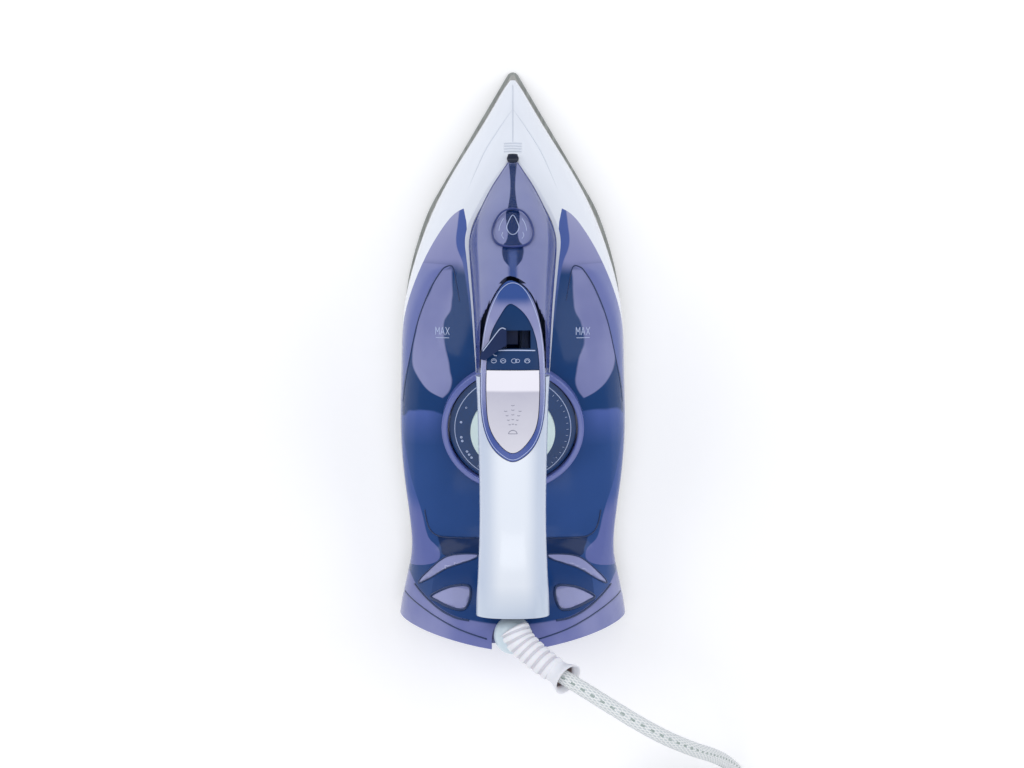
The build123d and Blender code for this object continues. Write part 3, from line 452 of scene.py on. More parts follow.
def grip_material():
    """The handle's white shell, with painted shade making it darker and bluer towards its sides."""
    s = Shader("grip_white", Coat_Weight=0.4, Coat_Roughness=0.06)
    side, along = s.plan()
    # painted shade: the white turns darker and bluer towards the handle's sides
    flank_shade = s.spread(side, 5.0, 17.0, smooth=True)
    colour = s.mix(flank_shade, srgb("e6ecf6"), srgb("b4c2da"))
    colour = s.mix(s.spread(along, -110.0, -128.0), colour, srgb("c0cde0"))
    s.colour(s.mix(s.spread(s.noise(35.0, 3.0), 0.3, 0.7, 0.0, 0.05), colour, srgb("f4f6fb")))
    s.roughness(s.spread(s.noise(160.0, 4.0), 0.3, 0.7, 0.19, 0.26))
    s.bump(s.noise(1400.0, 2.0), 0.00002, 0.5)
    return s.material


bezel_violet = bezel_material()
grip_white = grip_material()
spray_white = button_material()


def tank_material():
    """The smoked blue tank: navy where the deck is deep, with painted lavender reflections where wings and
    heel catch the light.
    """
    s = Shader("tank_blue", Alpha=0.92, IOR=1.4, Specular_IOR_Level=0.22, Coat_Weight=0.06,
               Coat_Roughness=0.2)
    side, along = s.plan()
    ripple = s.math("MULTIPLY", s.math("SUBTRACT", s.noise(28.0, 2.0, distort=0.4), 0.5), 7.0)
    wavy_side = s.math("ADD", side, ripple)
    navy = s.mix(s.noise(14.0, 2.0), srgb("14396e"), srgb("17437c"))
    mid = s.mix(s.spread(s.noise(16.0, 2.0), 0.35, 0.65), srgb("23467f"), srgb("2f5190"))
    pale = s.mix(s.spread(s.noise(22.0, 3.0), 0.35, 0.65), srgb("7d83b6"), srgb("9095c3"))
    front = s.mix(s.spread(along, 45.0, 76.0), srgb("8b8fc0"), srgb("a3a6cd"))
    strip = s.mix(s.spread(along, 10.0, 45.0), srgb("1c457f"), srgb("4f64a8"))
    crease = s.profile(along, CREASE)
    # the deck, with a painted highlight in the lighter part behind the dial, and the darkest part in front of
    # the rear pockets
    shore = s.math("ADD", 31.0, s.math("MULTIPLY", ripple, 2.6))
    mid = s.mix(s.both(s.spread(along, -48.0, -31.0), s.spread(side, 30.0, 44.0)), mid, srgb("4c63a9"))
    deck = s.mix(s.beyond(s.math("MULTIPLY", along, -1.0), shore, 1.6), navy, mid)
    deep = s.both(s.beyond(0.0, along, 0.1), s.both(s.beyond(s.math("MULTIPLY", along, -1.0), 96.5, 1.0),
                                                    s.beyond(s.profile(along, DEEP_SIDE), side, 1.0)))
    deck = s.mix(deep, deck, srgb("0a2a5a"))
    # the painted reflection of light that lies in each wing's hollow
    glint = s.both(s.beyond(wavy_side, s.profile(along, GLINT_INNER), 1.2),
                   s.beyond(s.profile(along, GLINT_OUTER), wavy_side, 1.2))
    glint = s.both(glint, s.both(s.beyond(along, -22.5, 2.0), s.beyond(43.0, along, 2.0)))
    colour = s.mix(glint, deck, pale)
    # outside the crease, and the whole front of each wing, lighter with painted reflections
    rim = s.mix(s.spread(along, -40.0, 30.0), srgb("3f5ba0"), srgb("6f79b6"))
    rim = s.mix(s.beyond(side, s.math("ADD", crease, 5.5), 5.0), rim, srgb("7d86bd"))
    rim = s.mix(s.beyond(s.math("MULTIPLY", along, -1.0), 80.0, 14.0), rim, srgb("6570ae"))
    colour = s.mix(s.beyond(side, crease, 0.7), colour, rim)
    colour = s.mix(s.beyond(s.math("ADD", along, ripple), 44.6, 9.0), colour, front)
    beside_column = s.both(s.beyond(s.profile(along, STRIP_SIDE), side, 0.8), s.beyond(along, 8.0, 16.0))
    colour = s.mix(beside_column, colour, strip)
    # the heel's rim, lavender with a painted reflection, and the corners behind the deck
    rear = s.beyond(s.math("MULTIPLY", along, -1.0), s.profile(side, DECK_REAR, 200.0), 0.8)
    colour = s.mix(rear, colour, srgb("1b407b"))
    heel = s.beyond(s.math("MULTIPLY", along, -1.0), s.profile(side, HEEL_FRONT, 200.0), 1.0)
    heel_reflection = s.mix(s.spread(s.noise(30.0, 2.0), 0.35, 0.65), srgb("6f77b2"), srgb("8a8fc1"))
    colour = s.mix(heel, colour, heel_reflection)
    s.colour(colour)
    s.roughness(s.spread(s.noise(130.0, 3.0), 0.3, 0.7, 0.1, 0.2))
    s.bump(s.noise(90.0, 2.0), 0.00004, 0.3)
    return s.material


CREASE = [(76, 80), (46.5, 79), (45.6, 31.5), (42, 36.3), (32.3, 42.4), (17.5, 48.2), (-0.6, 52.5),
          (-17.7, 56.7), (-30, 57.6), (-60, 54.4), (-85, 47.5), (-97, 44.5), (-107, 38), (-115, 60),
          (-150, 80)]
DEEP_SIDE = [(-93, 39.5), (-97, 39.2), (-102, 37.6), (-106.8, 34.5), (-108, 20), (-120, 0)]
GLINT_INNER = [(44, 31), (27.6, 31.1), (22.9, 31.5), (16.3, 34.9), (8.2, 35.6), (-7.9, 32.3), (-16, 32),
               (-22.5, 35.8)]
GLINT_OUTER = [(44, 36), (32.3, 42.0), (17.5, 47.8), (-0.6, 51.6), (-6, 51.6), (-10.2, 49.8), (-18.1, 43.3),
               (-22.5, 35.8)]
STRIP_SIDE = [(76, 27), (66, 28.2), (55.7, 28.8), (46.1, 25.5), (30, 22.7), (12.4, 20.6), (0, 18)]
DECK_REAR = [(0, 104), (19.8, 105), (34.3, 107), (40, 112), (46, 160), (80, 200)]
HEEL_FRONT = [(0, 135), (21, 134.4), (29.5, 133.6), (38, 130.8), (46, 126), (51.5, 121.5), (54, 118),
              (60, 112)]


def door_material():
    """The fill door: clear lavender plastic, its pale face partly a painted reflection, bluer towards its
    edges.
    """
    s = Shader("door_blue", Alpha=0.6, IOR=1.4, Specular_IOR_Level=0.3, Coat_Weight=0.1, Coat_Roughness=0.15)
    side, along = s.plan()
    # lavender face: the plastic's tint with a painted reflection over it
    cloud = s.spread(s.noise(20.0, 3.0), 0.35, 0.65)
    colour = s.mix(cloud, srgb("8b93c9"), srgb("a2a9d6"))
    tube = s.both(s.beyond(s.profile(along, DOOR_TUBE), side, 0.7), s.beyond(along, 44.0, 1.0))
    tube = s.both(tube, s.beyond(97.0, along, 1.5))
    colour = s.mix(tube, colour, srgb("15346f"))
    tube = s.both(s.beyond(2.0, side, 2.0), s.beyond(53.0, along, 4.0))
    colour = s.mix(tube, colour, srgb("4a62a4"))
    # bluer towards the rolled edges, where the painted reflection on the face stops
    edge = s.beyond(side, s.profile(along, DOOR_BAND), 1.6)
    colour = s.mix(edge, colour, srgb("3c53a4"))
    s.colour(colour)
    s.roughness(s.spread(s.noise(110.0, 3.0), 0.3, 0.7, 0.08, 0.16))
    s.bump(s.noise(60.0, 2.0), 0.00004, 0.3)
    return s.material


DOOR_TUBE = [(98, 2.2), (74, 2.4), (72, 3.2), (57, 3.4), (56, 4.4), (49, 4.6), (47, 3.4), (44, 0)]
DOOR_BAND = [(99, 20), (83, 13.5), (72, 16.6), (60, 17.5), (40, 16.4), (18, 15.8), (-9, 16.5)]
tank_blue = tank_material()
door_blue = door_material()
clear_line = clear_plastic("clear_line", "8fa3cf", "6c80b4", 0.7)
lamp_glass = clear_plastic("lamp_glass", "f09a60", "d4703c", 0.7)

CAD_LOOKS = {
    "soleplate": sole_metal, "heater_casting": cast_metal, "heating_element": heater_metal,
    "chamber_gasket": silicone, "chamber_cover": zinc_metal, "sole_screws": zinc_metal,
    "heat_shield": dark_parts, "nose_housing": white_shell, "column_frame": white_shell,
    "handle_upper": grip_white,
    "handle_lower": grip_white, "water_tank": tank_blue, "tank_floor": tank_blue, "heel_cover": tank_blue,
    "heel_pads": rubber_pad, "valve_seat": brass_metal, "valve_rod": zinc_metal, "dial_collar": collar_blue,
    "dial_knob": dial_blue, "dial_cap": dial_pale, "dial_shaft": zinc_metal, "shaft_sleeve": pump_blue,
    "thermostat": ceramic, "thermal_fuse": ceramic, "fill_door": door_blue, "door_pins": dark_parts,
    "head_core": dark_parts, "control_bezel": bezel_violet, "control_panel": panel_navy,
    "spray_button": spray_white, "steam_lever": lever_navy, "spray_pump": pump_blue,
    "spray_piston": button_white, "spray_spring": zinc_metal, "shot_pump": pump_blue,
    "shot_piston": button_white, "shot_spring": zinc_metal, "shot_trigger": button_white,
    "supply_lines": clear_line,
    "line_manifold": pump_blue, "line_clip": pump_blue, "spray_line": pump_blue, "spray_nozzle": dark_parts,
    "handle_screws": zinc_metal, "terminal_block": plug_white, "inner_lead": white_rubber,
    "cord_clamp": dark_parts, "pilot_lamp": lamp_glass, "cord_gland": white_shell, "cord_guard": white_rubber,
    "cord_tube": white_rubber, "cord_coil": white_rubber, "cord_tail": white_rubber, "coil_tie": dark_parts,
    "plug_body": plug_white, "plug_pins": brass_metal, "plug_earth": brass_metal,
}
for node_name, look in CAD_LOOKS.items():
    mesh = nodes[node_name].data
    mesh.materials.clear()
    mesh.materials.append(look)

# ---------------------------------------------------------------- lying on the CAD's surfaces
ABOVE = 200.0  # a height over the whole iron, to look down from
PATCH_STEP, PATCH_SMOOTH = 1.6, 6


class Surface:
    """The top of some CAD nodes, for pieces that lie on it; takes and gives millimetres."""

    def __init__(self, *names):
        self.trees = []
        for name in names:
            mesh = nodes[name].data
            polygons = [tuple(p.vertices) for p in mesh.polygons]
            self.trees.append(BVHTree.FromPolygons([v.co for v in mesh.vertices], polygons))

    def at(self, x, y, lift=0.0):
        best = None
        for tree in self.trees:
            place, normal, _, _ = tree.ray_cast(Vector((x * MM, y * MM, ABOVE * MM)), Vector((0, 0, -1)))
            if place is not None and (best is None or place.z > best[0].z):
                best = (place, normal if normal.z > 0 else -normal)
        if best is None:
            return None
        return (best[0] / MM) + best[1] * lift


def smooth_line(points, steps, closed=False):
    """Catmull-Rom line through points of any dimension."""
    line = []
    count = len(points)
    spans = count if closed else count - 1
    for i in range(spans):
        if closed:
            p = [Vector(points[(i + k) % count]) for k in (-1, 0, 1, 2)]
        else:
            p = [Vector(points[min(max(i + k, 0), count - 1)]) for k in (-1, 0, 1, 2)]
        for j in range(steps):
            t = j / steps
            line.append(0.5 * (2 * p[1] + (p[2] - p[0]) * t + (2 * p[0] - 5 * p[1] + 4 * p[2] - p[3]) * t * t
                               + (3 * p[1] - p[0] - 3 * p[2] + p[3]) * t ** 3))
    if not closed:
        line.append(Vector(points[-1]))
    return line


def join_meshes(name, meshes):
    """One mesh out of several."""
    tool = bmesh.new()
    for mesh in meshes:
        tool.from_mesh(mesh)
        bpy.data.meshes.remove(mesh)
    joined = bpy.data.meshes.new(name)
    tool.to_mesh(joined)
    tool.free()
    return joined


def line_on(surface, points, radius, steps=8, closed=False, lift=0.0, sides=8):
    """Mesh of a thin bead along plan points, half sunk into the surface."""
    line = [surface.at(p.x, p.y, lift) for p in smooth_line([Vector((*q, 0)) for q in points], steps, closed)]
    line = [p for p in line if p is not None]
    return rings_mesh("bead", tube_rings(line, radius, sides, closed), loop=closed)


def patch_on(surface, outline, lift):
    """Mesh of a thin skin over a plan outline, following the surface."""
    border = [Vector((p.x, p.y)) for p in smooth_line([Vector((*q, 0)) for q in outline], PATCH_SMOOTH, True)]
    xs, ys = [p.x for p in border], [p.y for p in border]
    inner = []
    x = min(xs) + PATCH_STEP / 2
    while x < max(xs):
        y = min(ys) + PATCH_STEP / 2
        while y < max(ys):
            inside = False
            for a, b in zip(border, border[1:] + border[:1]):
                if (a.y > y) != (b.y > y) and x < a.x + (b.x - a.x) * (y - a.y) / (b.y - a.y):
                    inside = not inside
            near = min((Vector((x, y)) - p).length for p in border)
            if inside and near > PATCH_STEP * 0.4:
                inner.append(Vector((x, y)))
            y += PATCH_STEP
        x += PATCH_STEP
    edge = [(i, (i + 1) % len(border)) for i in range(len(border))]
    flat, _, faces, _, _, _ = delaunay_2d_cdt(border + inner, edge, [], 1, 1e-6)
    vertices = []
    for p in flat:
        vertices.append(surface.at(p.x, p.y, lift) * MM)
    top = len(vertices)
    vertices += [v - Vector((0, 0, 0.5 * MM)) for v in vertices[:len(border)]]
    polygons = [tuple(f) for f in faces]
    polygons += [(i, (i + 1) % len(border), top + (i + 1) % len(border), top + i) for i in range(len(border))]
    return mesh_from("patch", vertices, polygons)


def both_sides(points):
    return [[(side * x, y) for x, y in points] for side in (1, -1)]


tank_top = Surface("water_tank", "heel_cover")
nose_top = Surface("nose_housing")
panel_top = Surface("control_panel")
button_top = Surface("spray_button")

navy_line = moulded("navy_line", "0d2c5c", 0.3, 0.1)
pale_print = moulded("pale_print", "b9c6e6", 0.5, 0.05)
grey_print = moulded("grey_print", "8c8d9f", 0.5, 0.05)
# grey for painted shade along the nose's creases, ridge and grip bars
crease_shade_grey = moulded("crease_shade_grey", "cfd6e2", 0.35, 0.03)
door_line = moulded("door_line", "1f3478", 0.3, 0.1)

# The crease along the outside of the hollow in each of the tank's wings.
LEAF = [(27.0, 27.0), (28.6, 36.0), (30.6, 44.0), (34.0, 44.2), (37.0, 41.4), (42.4, 32.3), (48.2, 17.5),
        (52.5, -0.6), (55.6, -16.0), (57.0, -26.0)]


def crease_radius(t):
    return 0.16 + 0.26 * math.sin(math.pi * t)


creases = [line_on(tank_top, side, crease_radius, 10) for side in both_sides(LEAF)]
add_object("tank_creases", join_meshes("tank_creases", creases), material=navy_line)

# The nose's ridge, its two side creases and the moulded grip bars in front of the spray nozzle, as grey beads
# of painted shade on the white shell.
NOSE_RIDGE = [(0, 139), (0, 128), (0, 118), (0, 108.5)]
NOSE_CREASE = [(0.4, 125.5), (6.5, 116.5), (14.0, 104.5), (19.5, 92.5), (24.5, 80.5)]


def nose_crease_radius(t):
    return 0.1 + 0.28 * math.sin(math.pi * min(1, t + 0.05))


ridge = [line_on(nose_top, NOSE_RIDGE, 0.35, 10, lift=-0.05)]
for side in both_sides(NOSE_CREASE):
    ridge.append(line_on(nose_top, side, nose_crease_radius, 10, lift=-0.12))
add_object("nose_creases", join_meshes("nose_creases", ridge), material=crease_shade_grey)
bars = [line_on(nose_top, [(-4.4, y), (0, y + 0.2), (4.4, y)], 0.42, 6) for y in (103.2, 104.6, 106.0, 107.4)]
add_object("nose_grip_bars", join_meshes("nose_grip_bars", bars), material=crease_shade_grey)


LETTERS = {
    "M": [[(0, 0), (0, 0.5), (0, 1)], [(0, 1), (0.25, 0.68), (0.5, 0.36)],
          [(0.5, 0.36), (0.75, 0.68), (1, 1)], [(1, 1), (1, 0.5), (1, 0)]],
    "A": [[(0, 0), (0.25, 0.5), (0.5, 1)], [(0.5, 1), (0.75, 0.5), (1, 0)],
          [(0.2, 0.36), (0.5, 0.36), (0.8, 0.36)]],
    "X": [[(0, 0), (0.5, 0.5), (1, 1)], [(0, 1), (0.5, 0.5), (1, 0)]],
}


def word_on(surface, word, x, y, width, height, gap, radius):
    """Meshes of a word's strokes lying on a surface, centred on a plan point."""
    left = x - (len(word) * width + (len(word) - 1) * gap) / 2
    strokes = []
    for letter in word:
        for stroke in LETTERS[letter]:
            points = [(left + u * width, y + (v - 0.5) * height) for u, v in stroke]
            strokes.append(line_on(surface, points, radius, 3, lift=0.02, sides=6))
        left += width + gap
    return strokes


# The level marks: the word MAX with a bar behind it, on each wing of the tank.
MARK_X, WORD_Y, BAR_Y, BAR_HALF = 35.6, 11.8, 8.4, 3.4
marks = []
for side in (1, -1):
    x = side * MARK_X
    marks += word_on(tank_top, "MAX", x, WORD_Y, width=1.9, height=3.9, gap=0.65, radius=0.2)
    marks.append(line_on(tank_top, [(x - BAR_HALF, BAR_Y), (x, BAR_Y), (x + BAR_HALF, BAR_Y)], 0.18, 6))
add_object("level_marks", join_meshes("level_marks", marks), material=pale_print)

# The rear deck: on each side of the handle a rounded pocket and a narrow band in front of it, their rims, and
# the creases behind the pocket and in front of the band.
POCKET = [(42.3, -126.3), (34.8, -121.6), (27.8, -119.6), (22.3, -119.8), (21.6, -123.8), (23.3, -128.4),
          (26.0, -130.2), (31.5, -130.0), (38.0, -128.3)]
BAND = [(49.2, -121.2), (45.5, -116.0), (34.3, -106.8), (19.8, -105.0), (19.8, -107.3), (34.1, -112.4),
        (44.0, -118.6)]
# lavender skins over the pockets and bands: a painted reflection
pocket_reflection_lavender = moulded("pocket_reflection_lavender", "8d92c2", 0.12, 0.07, Coat_Weight=0.5, Coat_Roughness=0.05)
skins = [patch_on(tank_top, side, 0.1) for outline in (POCKET, BAND) for side in both_sides(outline)]
add_object("rear_pockets", join_meshes("rear_pockets", skins), material=pocket_reflection_lavender)
rims = [line_on(tank_top, side, 0.75, 8, True) for side in both_sides(POCKET)]
rims += [line_on(tank_top, side, 0.45, 8, True) for side in both_sides(BAND)]
BEHIND_POCKETS = [(51.5, -122.5), (46.0, -126.8), (38.0, -131.5), (29.5, -134.2), (22.0, -134.6)]
BEFORE_BAND = [(46.0, -83.0), (44.0, -92.0), (39.0, -96.5), (28.0, -97.2), (18.6, -97.0)]
rims += [line_on(tank_top, side, 0.55, 8) for side in both_sides(BEHIND_POCKETS)]
rims += [line_on(tank_top, side, 0.4, 8) for side in both_sides(BEFORE_BAND)]
add_object("rear_rims", join_meshes("rear_rims", rims), material=navy_line)
HEEL_CREASE = [(57.2, -128.5), (52.0, -130.8), (40.0, -135.6), (28.0, -139.4), (13.0, -142.2)]
heel_lines = [line_on(tank_top, side, 0.4, 8) for side in both_sides(HEEL_CREASE)]
add_object("heel_creases", join_meshes("heel_creases", heel_lines), material=navy_line)


# Generic symbols on the control panel: four small rings, one with a second ring across it and three with a
# bent stroke inside.
ICON_Y, ICON_SQUASH, ICON_LIFT, ICON_POINTS = 0.9, 0.8, 0.05, 14


def icon_ring(x, radius):
    angles = [math.tau * i / ICON_POINTS for i in range(ICON_POINTS)]
    return [(x + radius * math.cos(a), ICON_Y + radius * ICON_SQUASH * math.sin(a)) for a in angles]


icons = []
for x in (-9.0, -4.6, 0.6, 6.8):
    icons.append(line_on(panel_top, icon_ring(x, 1.25), 0.13, 3, True, ICON_LIFT, 6))
icons.append(line_on(panel_top, [(-9.8, 0.9), (-9.0, 1.4), (-8.2, 0.9)], 0.12, 4, lift=ICON_LIFT))
icons.append(line_on(panel_top, [(-5.8, 0.4), (-4.6, 1.1), (-3.4, 0.4)], 0.12, 4, lift=ICON_LIFT))
icons.append(line_on(panel_top, icon_ring(2.2, 1.0), 0.12, 3, True, ICON_LIFT, 6))
icons.append(line_on(panel_top, [(5.6, 0.2), (6.8, 1.5), (8.0, 0.2)], 0.12, 4, lift=ICON_LIFT))
add_object("panel_symbols", join_meshes("panel_symbols", icons), material=pale_print)
ledge = [line_on(panel_top, [(-10.6, 5.7), (0, 5.9), (10.6, 5.7)], 0.28, 8, lift=0.02),
         line_on(panel_top, [(-11.0, 5.4), (-8.8, 3.6), (-7.6, 3.3)], 0.2, 6, lift=0.02)]
add_object("panel_ledge", join_meshes("panel_ledge", ledge), material=pale_print)

# The fill door: its finger mark with a drop inside, and the dark edges along both sides.
door_top = Surface("fill_door")
RING = [(0, 73.4), (5.4, 71.6), (9.0, 66.6), (10.1, 61.4), (8.2, 57.0), (3.6, 55.0)]
ring = RING + [(-x, y) for x, y in RING[:0:-1]]
add_object("door_ring", line_on(door_top, ring, 0.62, 6, True, -0.1), body="door", material=door_line)
DROP = [(0, 70.2), (2.4, 66.2), (3.0, 63.6), (1.6, 61.2), (0, 60.6), (-1.6, 61.2), (-3.0, 63.6), (-2.4, 66.2)]
UPPER_ARC = [(4.6, 68.4), (6.2, 65.4), (6.8, 62.4)]
LOWER_ARC = [(4.9, 61.6), (5.4, 60.0), (4.4, 58.6)]
drop = [line_on(door_top, DROP, 0.2, 5, True, 0.0, 6)]
for side in both_sides(UPPER_ARC) + both_sides(LOWER_ARC):
    drop.append(line_on(door_top, side, 0.16, 4, sides=6))
add_object("door_symbol", join_meshes("door_symbol", drop), body="door", material=pale_print)
DOOR_EDGE = [(2.4, 97.2), (6.0, 91.6), (11.4, 82.8), (16.7, 71.8), (20.9, 60.2), (21.0, 50.0), (20.1, 40.0),
             (19.2, 30.0), (18.3, 18.0), (17.6, 6.0)]
edges = [line_on(door_top, side, 0.3, 8, lift=-0.02) for side in both_sides(DOOR_EDGE)]
add_object("door_edges", join_meshes("door_edges", edges), body="door", material=door_line)

# A light rim along the outside of the control bezel.
bezel_top = Surface("control_bezel")
RIM = [(0, 37.6), (6.5, 33.3), (11.9, 20.6), (14.1, 7.8), (14.8, -7.0), (14.6, -20.8), (12.9, -31.7),
       (9.2, -39.6), (4.0, -44.4), (0, -45.9)]
rim_line = RIM + [(-x, y) for x, y in RIM[-2:0:-1]]
add_object("bezel_rim", line_on(bezel_top, rim_line, 0.16, 6, True, -0.05, 6), material=pale_print)

# The spray nozzle: a rounded black tip on the nozzle's own place.
TIP_HALF_LENGTH, TIP_HALF_WIDTH, TIP_HALF_HEIGHT, TIP_SINK = 2.6, 3.1, 1.4, 0.5
TIP_RINGS, TIP_SIDES = 14, 32
tip_front = max(vertex.co.y for vertex in nodes["spray_nozzle"].data.vertices) / MM
tip_ground = Surface("spray_nozzle", "nose_housing", "fill_door")
tip_rings = []
for k in range(1, TIP_RINGS):
    t = k / TIP_RINGS * 2 - 1
    wide = math.sqrt(1 - t * t)
    y = tip_front - TIP_HALF_LENGTH + TIP_HALF_LENGTH * t
    z = tip_ground.at(0, y).z - TIP_SINK
    half_width, half_height = TIP_HALF_WIDTH * wide, TIP_HALF_HEIGHT * wide
    tip_rings.append([Vector((half_width * math.cos(a), y, z + half_height * math.sin(a))) * MM
                      for a in (math.tau * i / TIP_SIDES for i in range(TIP_SIDES))])
add_object("nozzle_tip", rings_mesh("nozzle_tip", tip_rings), material=dark_parts)

# The steam lever's light front edge.
lever_top = Surface("steam_lever")
LEVER_EDGE = [(-3.4, 16.0), (-5.9, 16.2), (-10.2, 10.8), (-14.2, 5.6)]
add_object("lever_edge", line_on(lever_top, LEVER_EDGE, 0.22, 6, lift=-0.06), body="lever",
           material=pale_print)

# The spray symbol on the button: a low dome with a fan of dashes above it, the middle row the longest.
FAN_Y, SIDE_REACH = -34.0, 12.0
dashes = []
for lean in (-17, 0, 17):
    for reach in (5.0, 7.2, 9.4, 11.6, 13.8):
        if reach > SIDE_REACH and lean:
            continue
        a = math.radians(90 + lean)
        half = 0.3 + 0.035 * reach
        x, y = reach * math.cos(a), FAN_Y + reach * math.sin(a)
        points = [(x + t * half, y + 0.25 * abs(t)) for t in (-1, 0, 1)]
        dashes.append(line_on(button_top, points, 0.26, 3, lift=-0.16, sides=6))
dome = [(-2.1, -33.4), (-1.5, -32.3), (0, -31.7), (1.5, -32.3), (2.1, -33.4)]
dashes.append(line_on(button_top, dome, 0.26, 5, lift=-0.16))
dashes.append(line_on(button_top, [(-2.1, -33.4), (0, -33.4), (2.1, -33.4)], 0.22, 5, lift=-0.12))
add_object("button_symbol", join_meshes("button_symbol", dashes), body="spray", material=grey_print)

# ---------------------------------------------------------------- the dial's face
DIAL_CENTRE = Vector((0, -38.0, 65.0))
DIAL_TILT = math.radians(22.0)
DIAL_AXIS = Vector((0, -math.sin(DIAL_TILT), math.cos(DIAL_TILT)))
DIAL_SIDE = Vector((1, 0, 0))
DIAL_AHEAD = DIAL_AXIS.cross(DIAL_SIDE)


def on_dial(radius, angle, height):
    outwards = DIAL_SIDE * math.cos(angle) + DIAL_AHEAD * math.sin(angle)
    return DIAL_CENTRE + outwards * radius + DIAL_AXIS * height


def dial_height(radius):
    """Top of the knob's sloping rim at a radius."""
    return 3.0 - 3.6 * (radius - 21.8) / 10.5


RING_RADIUS, RING_STEPS = 29.6, 96
SPOT_PLACE, SPOT_RADIUS, SPOT_GAP = 26.6, 0.42, 4.6
TICKS, FIRST_TICK, TICK_GAP = 36, 230, 7.2
TICK_RADII = (27.4, 27.9, 28.4)
TICKS_END = 0.94  # no ticks straight ahead, where the sine of the angle is above this
ring_line = [on_dial(RING_RADIUS, math.tau * i / RING_STEPS, dial_height(RING_RADIUS))
             for i in range(RING_STEPS)]
dial_marks = [rings_mesh("ring", tube_rings(ring_line, 0.22, 6, True), loop=True)]
for group, angle in enumerate((150, 171, 192, 213)):
    for i in range(group if group else 1):
        a = math.radians(angle + (i - (group - 1) / 2) * SPOT_GAP)
        middle = on_dial(SPOT_PLACE, a, dial_height(SPOT_PLACE))
        spot = [middle + (DIAL_SIDE * math.cos(b) + DIAL_AHEAD * math.sin(b)) * SPOT_RADIUS
                for b in (math.tau * k / 10 for k in range(10))]
        dial_marks.append(rings_mesh("spot", tube_rings(spot, 0.3 if group else 0.16, 6, True), loop=True))
for k in range(TICKS):
    a = math.radians(FIRST_TICK + k * TICK_GAP)
    if math.sin(a) < TICKS_END:
        tick = [on_dial(r, a, dial_height(r)) for r in TICK_RADII]
        dial_marks.append(rings_mesh("tick", tube_rings(tick, 0.12, 6)))
add_object("dial_marks", join_meshes("dial_marks", dial_marks), body="dial", material=pale_print)

# ---------------------------------------------------------------- the cord's bend guard
GUARD_ARC = [(0.6, -135.6, 96.5), (4.4, -142.0, 98.8), (10.6, -147.6, 101.5), (18.6, -153.2, 104.8),
             (27.0, -158.5, 108.0)]
GUARD_RIBS = 8
MOUTH_TILT = math.radians(20.0)
# Rings from the flare's lip into the mouth: distance along the guard, and radius.
MOUTH = ((0.35, 8.35), (0.42, 8.0), (0.2, 7.5), (-1.2, 6.7), (-3.0, 5.9), (-5.0, 5.2), (-9.0, 4.4))
guard_line = smooth_line(GUARD_ARC, 40)


def guard_rib(share, angle):
    """1 on a rib, 0 in the groove beside it, and 0 past the ribbed part."""
    wave = 0.5 + 0.5 * math.cos(math.tau * (share * GUARD_RIBS / 0.84) + angle)
    rib = smooth_step((wave - 0.16) / 0.34) * smooth_step(share / 0.04)
    return rib * (1 - smooth_step((share - 0.78) / 0.06))


def guard_radius(share, angle):
    """Outer radius: a gentle taper, slanted ribs, and the flared mouth."""
    body = 7.4 - 1.2 * share
    ribbed = 0.7 * guard_rib(share, angle)
    flare = 2.35 * smooth_step((share - 0.8) / 0.2) ** 1.5
    return body - 0.45 + ribbed + flare


def guard_mesh():
    sides = 64
    rings, groove_shading = [], []
    count = len(guard_line)
    frames = []
    side = None
    for i, at in enumerate(guard_line):
        way = (guard_line[min(i + 1, count - 1)] - guard_line[max(i - 1, 0)]).normalized()
        if side is None:
            side = way.orthogonal().normalized()
        side = (side - way * side.dot(way)).normalized()
        frames.append((at, side, way.cross(side), way))
    angles = [math.tau * k / sides for k in range(sides)]
    for i, (at, side, other, way) in enumerate(frames):
        share = i / (count - 1)
        level = way.cross(Vector((0, 0, 1))).normalized()
        lift = Quaternion(level, MOUTH_TILT * smooth_step((share - 0.72) / 0.28))
        side, other = lift @ side, lift @ other
        rings.append([(at + (side * math.cos(a) + other * math.sin(a)) * guard_radius(share, a)) * MM
                      for a in angles])
        # values for painted shade: 1 on a rib, lower between the ribs, and 1 on the flare
        groove_shading += [guard_rib(share, a) if share < 0.8 else 1.0 for a in angles]
    mouth_way = lift @ way
    for push, radius in MOUTH:
        middle = at + (mouth_way if push > -1.0 else way) * push
        rings.append([(middle + (side * math.cos(a) + other * math.sin(a)) * radius) * MM for a in angles])
        # the mouth's rings: 1 near the lip, -1 deep inside, where the mouth is painted dark as shade
        groove_shading += [1.0 if push > -3.0 else -1.0] * sides
    mesh = rings_mesh("bend_guard", rings)
    layer = mesh.attributes.new("groove", "FLOAT", "POINT")
    for value, item in zip(groove_shading, layer.data):
        item.value = value
    return mesh


# The guard's white rubber with painted shade: grey between the ribs and dark deep inside the mouth.
guard_shader = Shader("guard_rubber", Specular_IOR_Level=0.4, Subsurface_Weight=0.05)
groove = guard_shader.node("ShaderNodeAttribute", attribute_name="groove").outputs["Fac"]
rubber = guard_shader.mix(guard_shader.noise(60.0, 3.0), srgb("e4e4ec"), srgb("f1f1f6"))
rubber = guard_shader.mix(guard_shader.spread(groove, 0.0, 0.8), srgb("cfcfd8"), rubber)
guard_shader.colour(guard_shader.mix(guard_shader.spread(groove, -1.0, -0.2), srgb("5b5760"), rubber))
guard_shader.roughness(guard_shader.spread(guard_shader.noise(200.0, 3.0), 0.3, 0.7, 0.4, 0.55))
guard_shader.bump(guard_shader.noise(1500.0, 2.0), 0.00005, 0.5)
bend_guard = add_object("bend_guard", guard_mesh(), material=guard_shader.material)
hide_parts("cord_guard")

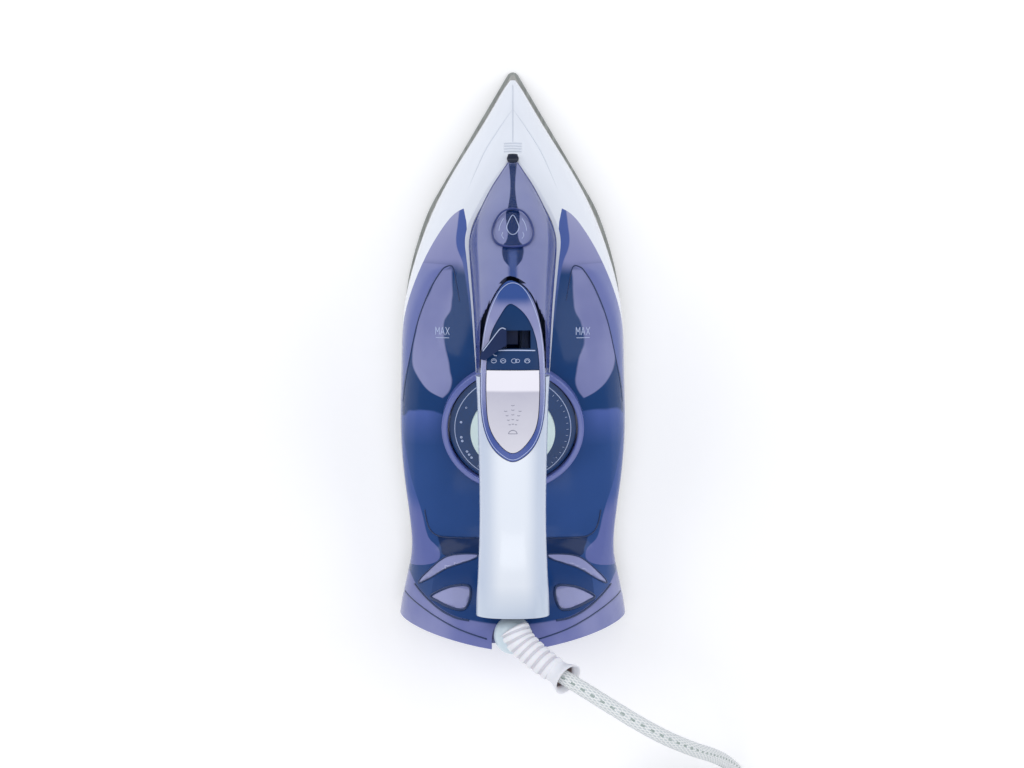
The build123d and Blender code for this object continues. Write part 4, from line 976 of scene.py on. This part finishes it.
# The swivel cup that the guard grows out of.
CUP = [(0.0, 3.2), (4.0, 3.0), (7.2, 1.4), (8.9, -1.6), (9.5, -5.2), (9.3, -9.0), (8.0, -12.4), (5.8, -14.8),
       (0.0, -15.2)]
CUP_Y, CUP_Z, CUP_SIDES = -140.0, 95.5, 48
cup_rings = []
for radius, height in smooth_line([Vector(p) for p in CUP], 6)[1:-1]:
    cup_rings.append([Vector((radius * math.cos(a), CUP_Y + radius * math.sin(a), CUP_Z + height)) * MM
                      for a in (math.tau * k / CUP_SIDES for k in range(CUP_SIDES))])
cup_pale = moulded("cup_pale", "cddde7", 0.3, 0.03, Coat_Weight=0.2, Coat_Roughness=0.1)
swivel_cup = add_object("swivel_cup", rings_mesh("swivel_cup", cup_rings), material=cup_pale)
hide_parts("cord_gland")

# ---------------------------------------------------------------- return springs, copied as pieces of their own in place of the CAD nodes
RETURN_SPRINGS = (("spray_spring", "spray_press", 0.132, 0.5), ("shot_spring", "shot_pull", 0.1215, 0.48))
for name, joint, fixed_end, keep in RETURN_SPRINGS:
    coil = add_object(name + "_coil", nodes[name].data.copy())
    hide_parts(name)
    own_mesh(coil)

# ---------------------------------------------------------------- stage and lights
FLOOR_HALF, FLOOR_Z = 6.0, -0.0002
floor_corners = [(x * FLOOR_HALF, y * FLOOR_HALF, FLOOR_Z) for x, y in ((-1, -1), (1, -1), (1, 1), (-1, 1))]
floor = mesh_from("floor", floor_corners, [(0, 1, 2, 3)])
floor_shader = Shader("floor_paper", Specular_IOR_Level=0.1)
floor_shader.colour(floor_shader.mix(floor_shader.noise(3.0), (0.93, 0.93, 0.94), (0.96, 0.96, 0.97)))
floor_shader.roughness(0.9)
floor_shader.bsdf.inputs["Emission Color"].default_value = (1.0, 1.0, 1.0, 1.0)
floor_shader.bsdf.inputs["Emission Strength"].default_value = 0.12
floor.materials.append(floor_shader.material)
floor_piece = bpy.data.objects.new("floor", floor)
bpy.context.collection.objects.link(floor_piece)

world = bpy.data.worlds.new("studio")
world.use_nodes = True
background = world.node_tree.nodes["Background"]
background.inputs["Color"].default_value = (0.95, 0.965, 1.0, 1.0)
background.inputs["Strength"].default_value = 0.62
bpy.context.scene.world = world


def soft_box(name, place, target, size, power):
    light = bpy.data.lights.new(name, "AREA")
    light.shape = "RECTANGLE"
    light.size, light.size_y = size
    light.energy = power
    piece = bpy.data.objects.new(name, light)
    bpy.context.collection.objects.link(piece)
    piece.location = place
    piece.rotation_euler = (Vector(target) - Vector(place)).to_track_quat("-Z", "Y").to_euler()


soft_box("key_left", (-1.1, 0.5, 1.3), (0, 0, 0.05), (0.9, 0.9), 6.5)
soft_box("key_right", (1.1, 0.3, 1.3), (0, 0, 0.05), (0.9, 0.9), 5.5)
soft_box("top", (0.0, 0.1, 1.9), (0, 0, 0), (1.2, 1.2), 4.0)
soft_box("rear", (0.0, -1.4, 0.9), (0, 0, 0.05), (1.2, 0.6), 3.0)
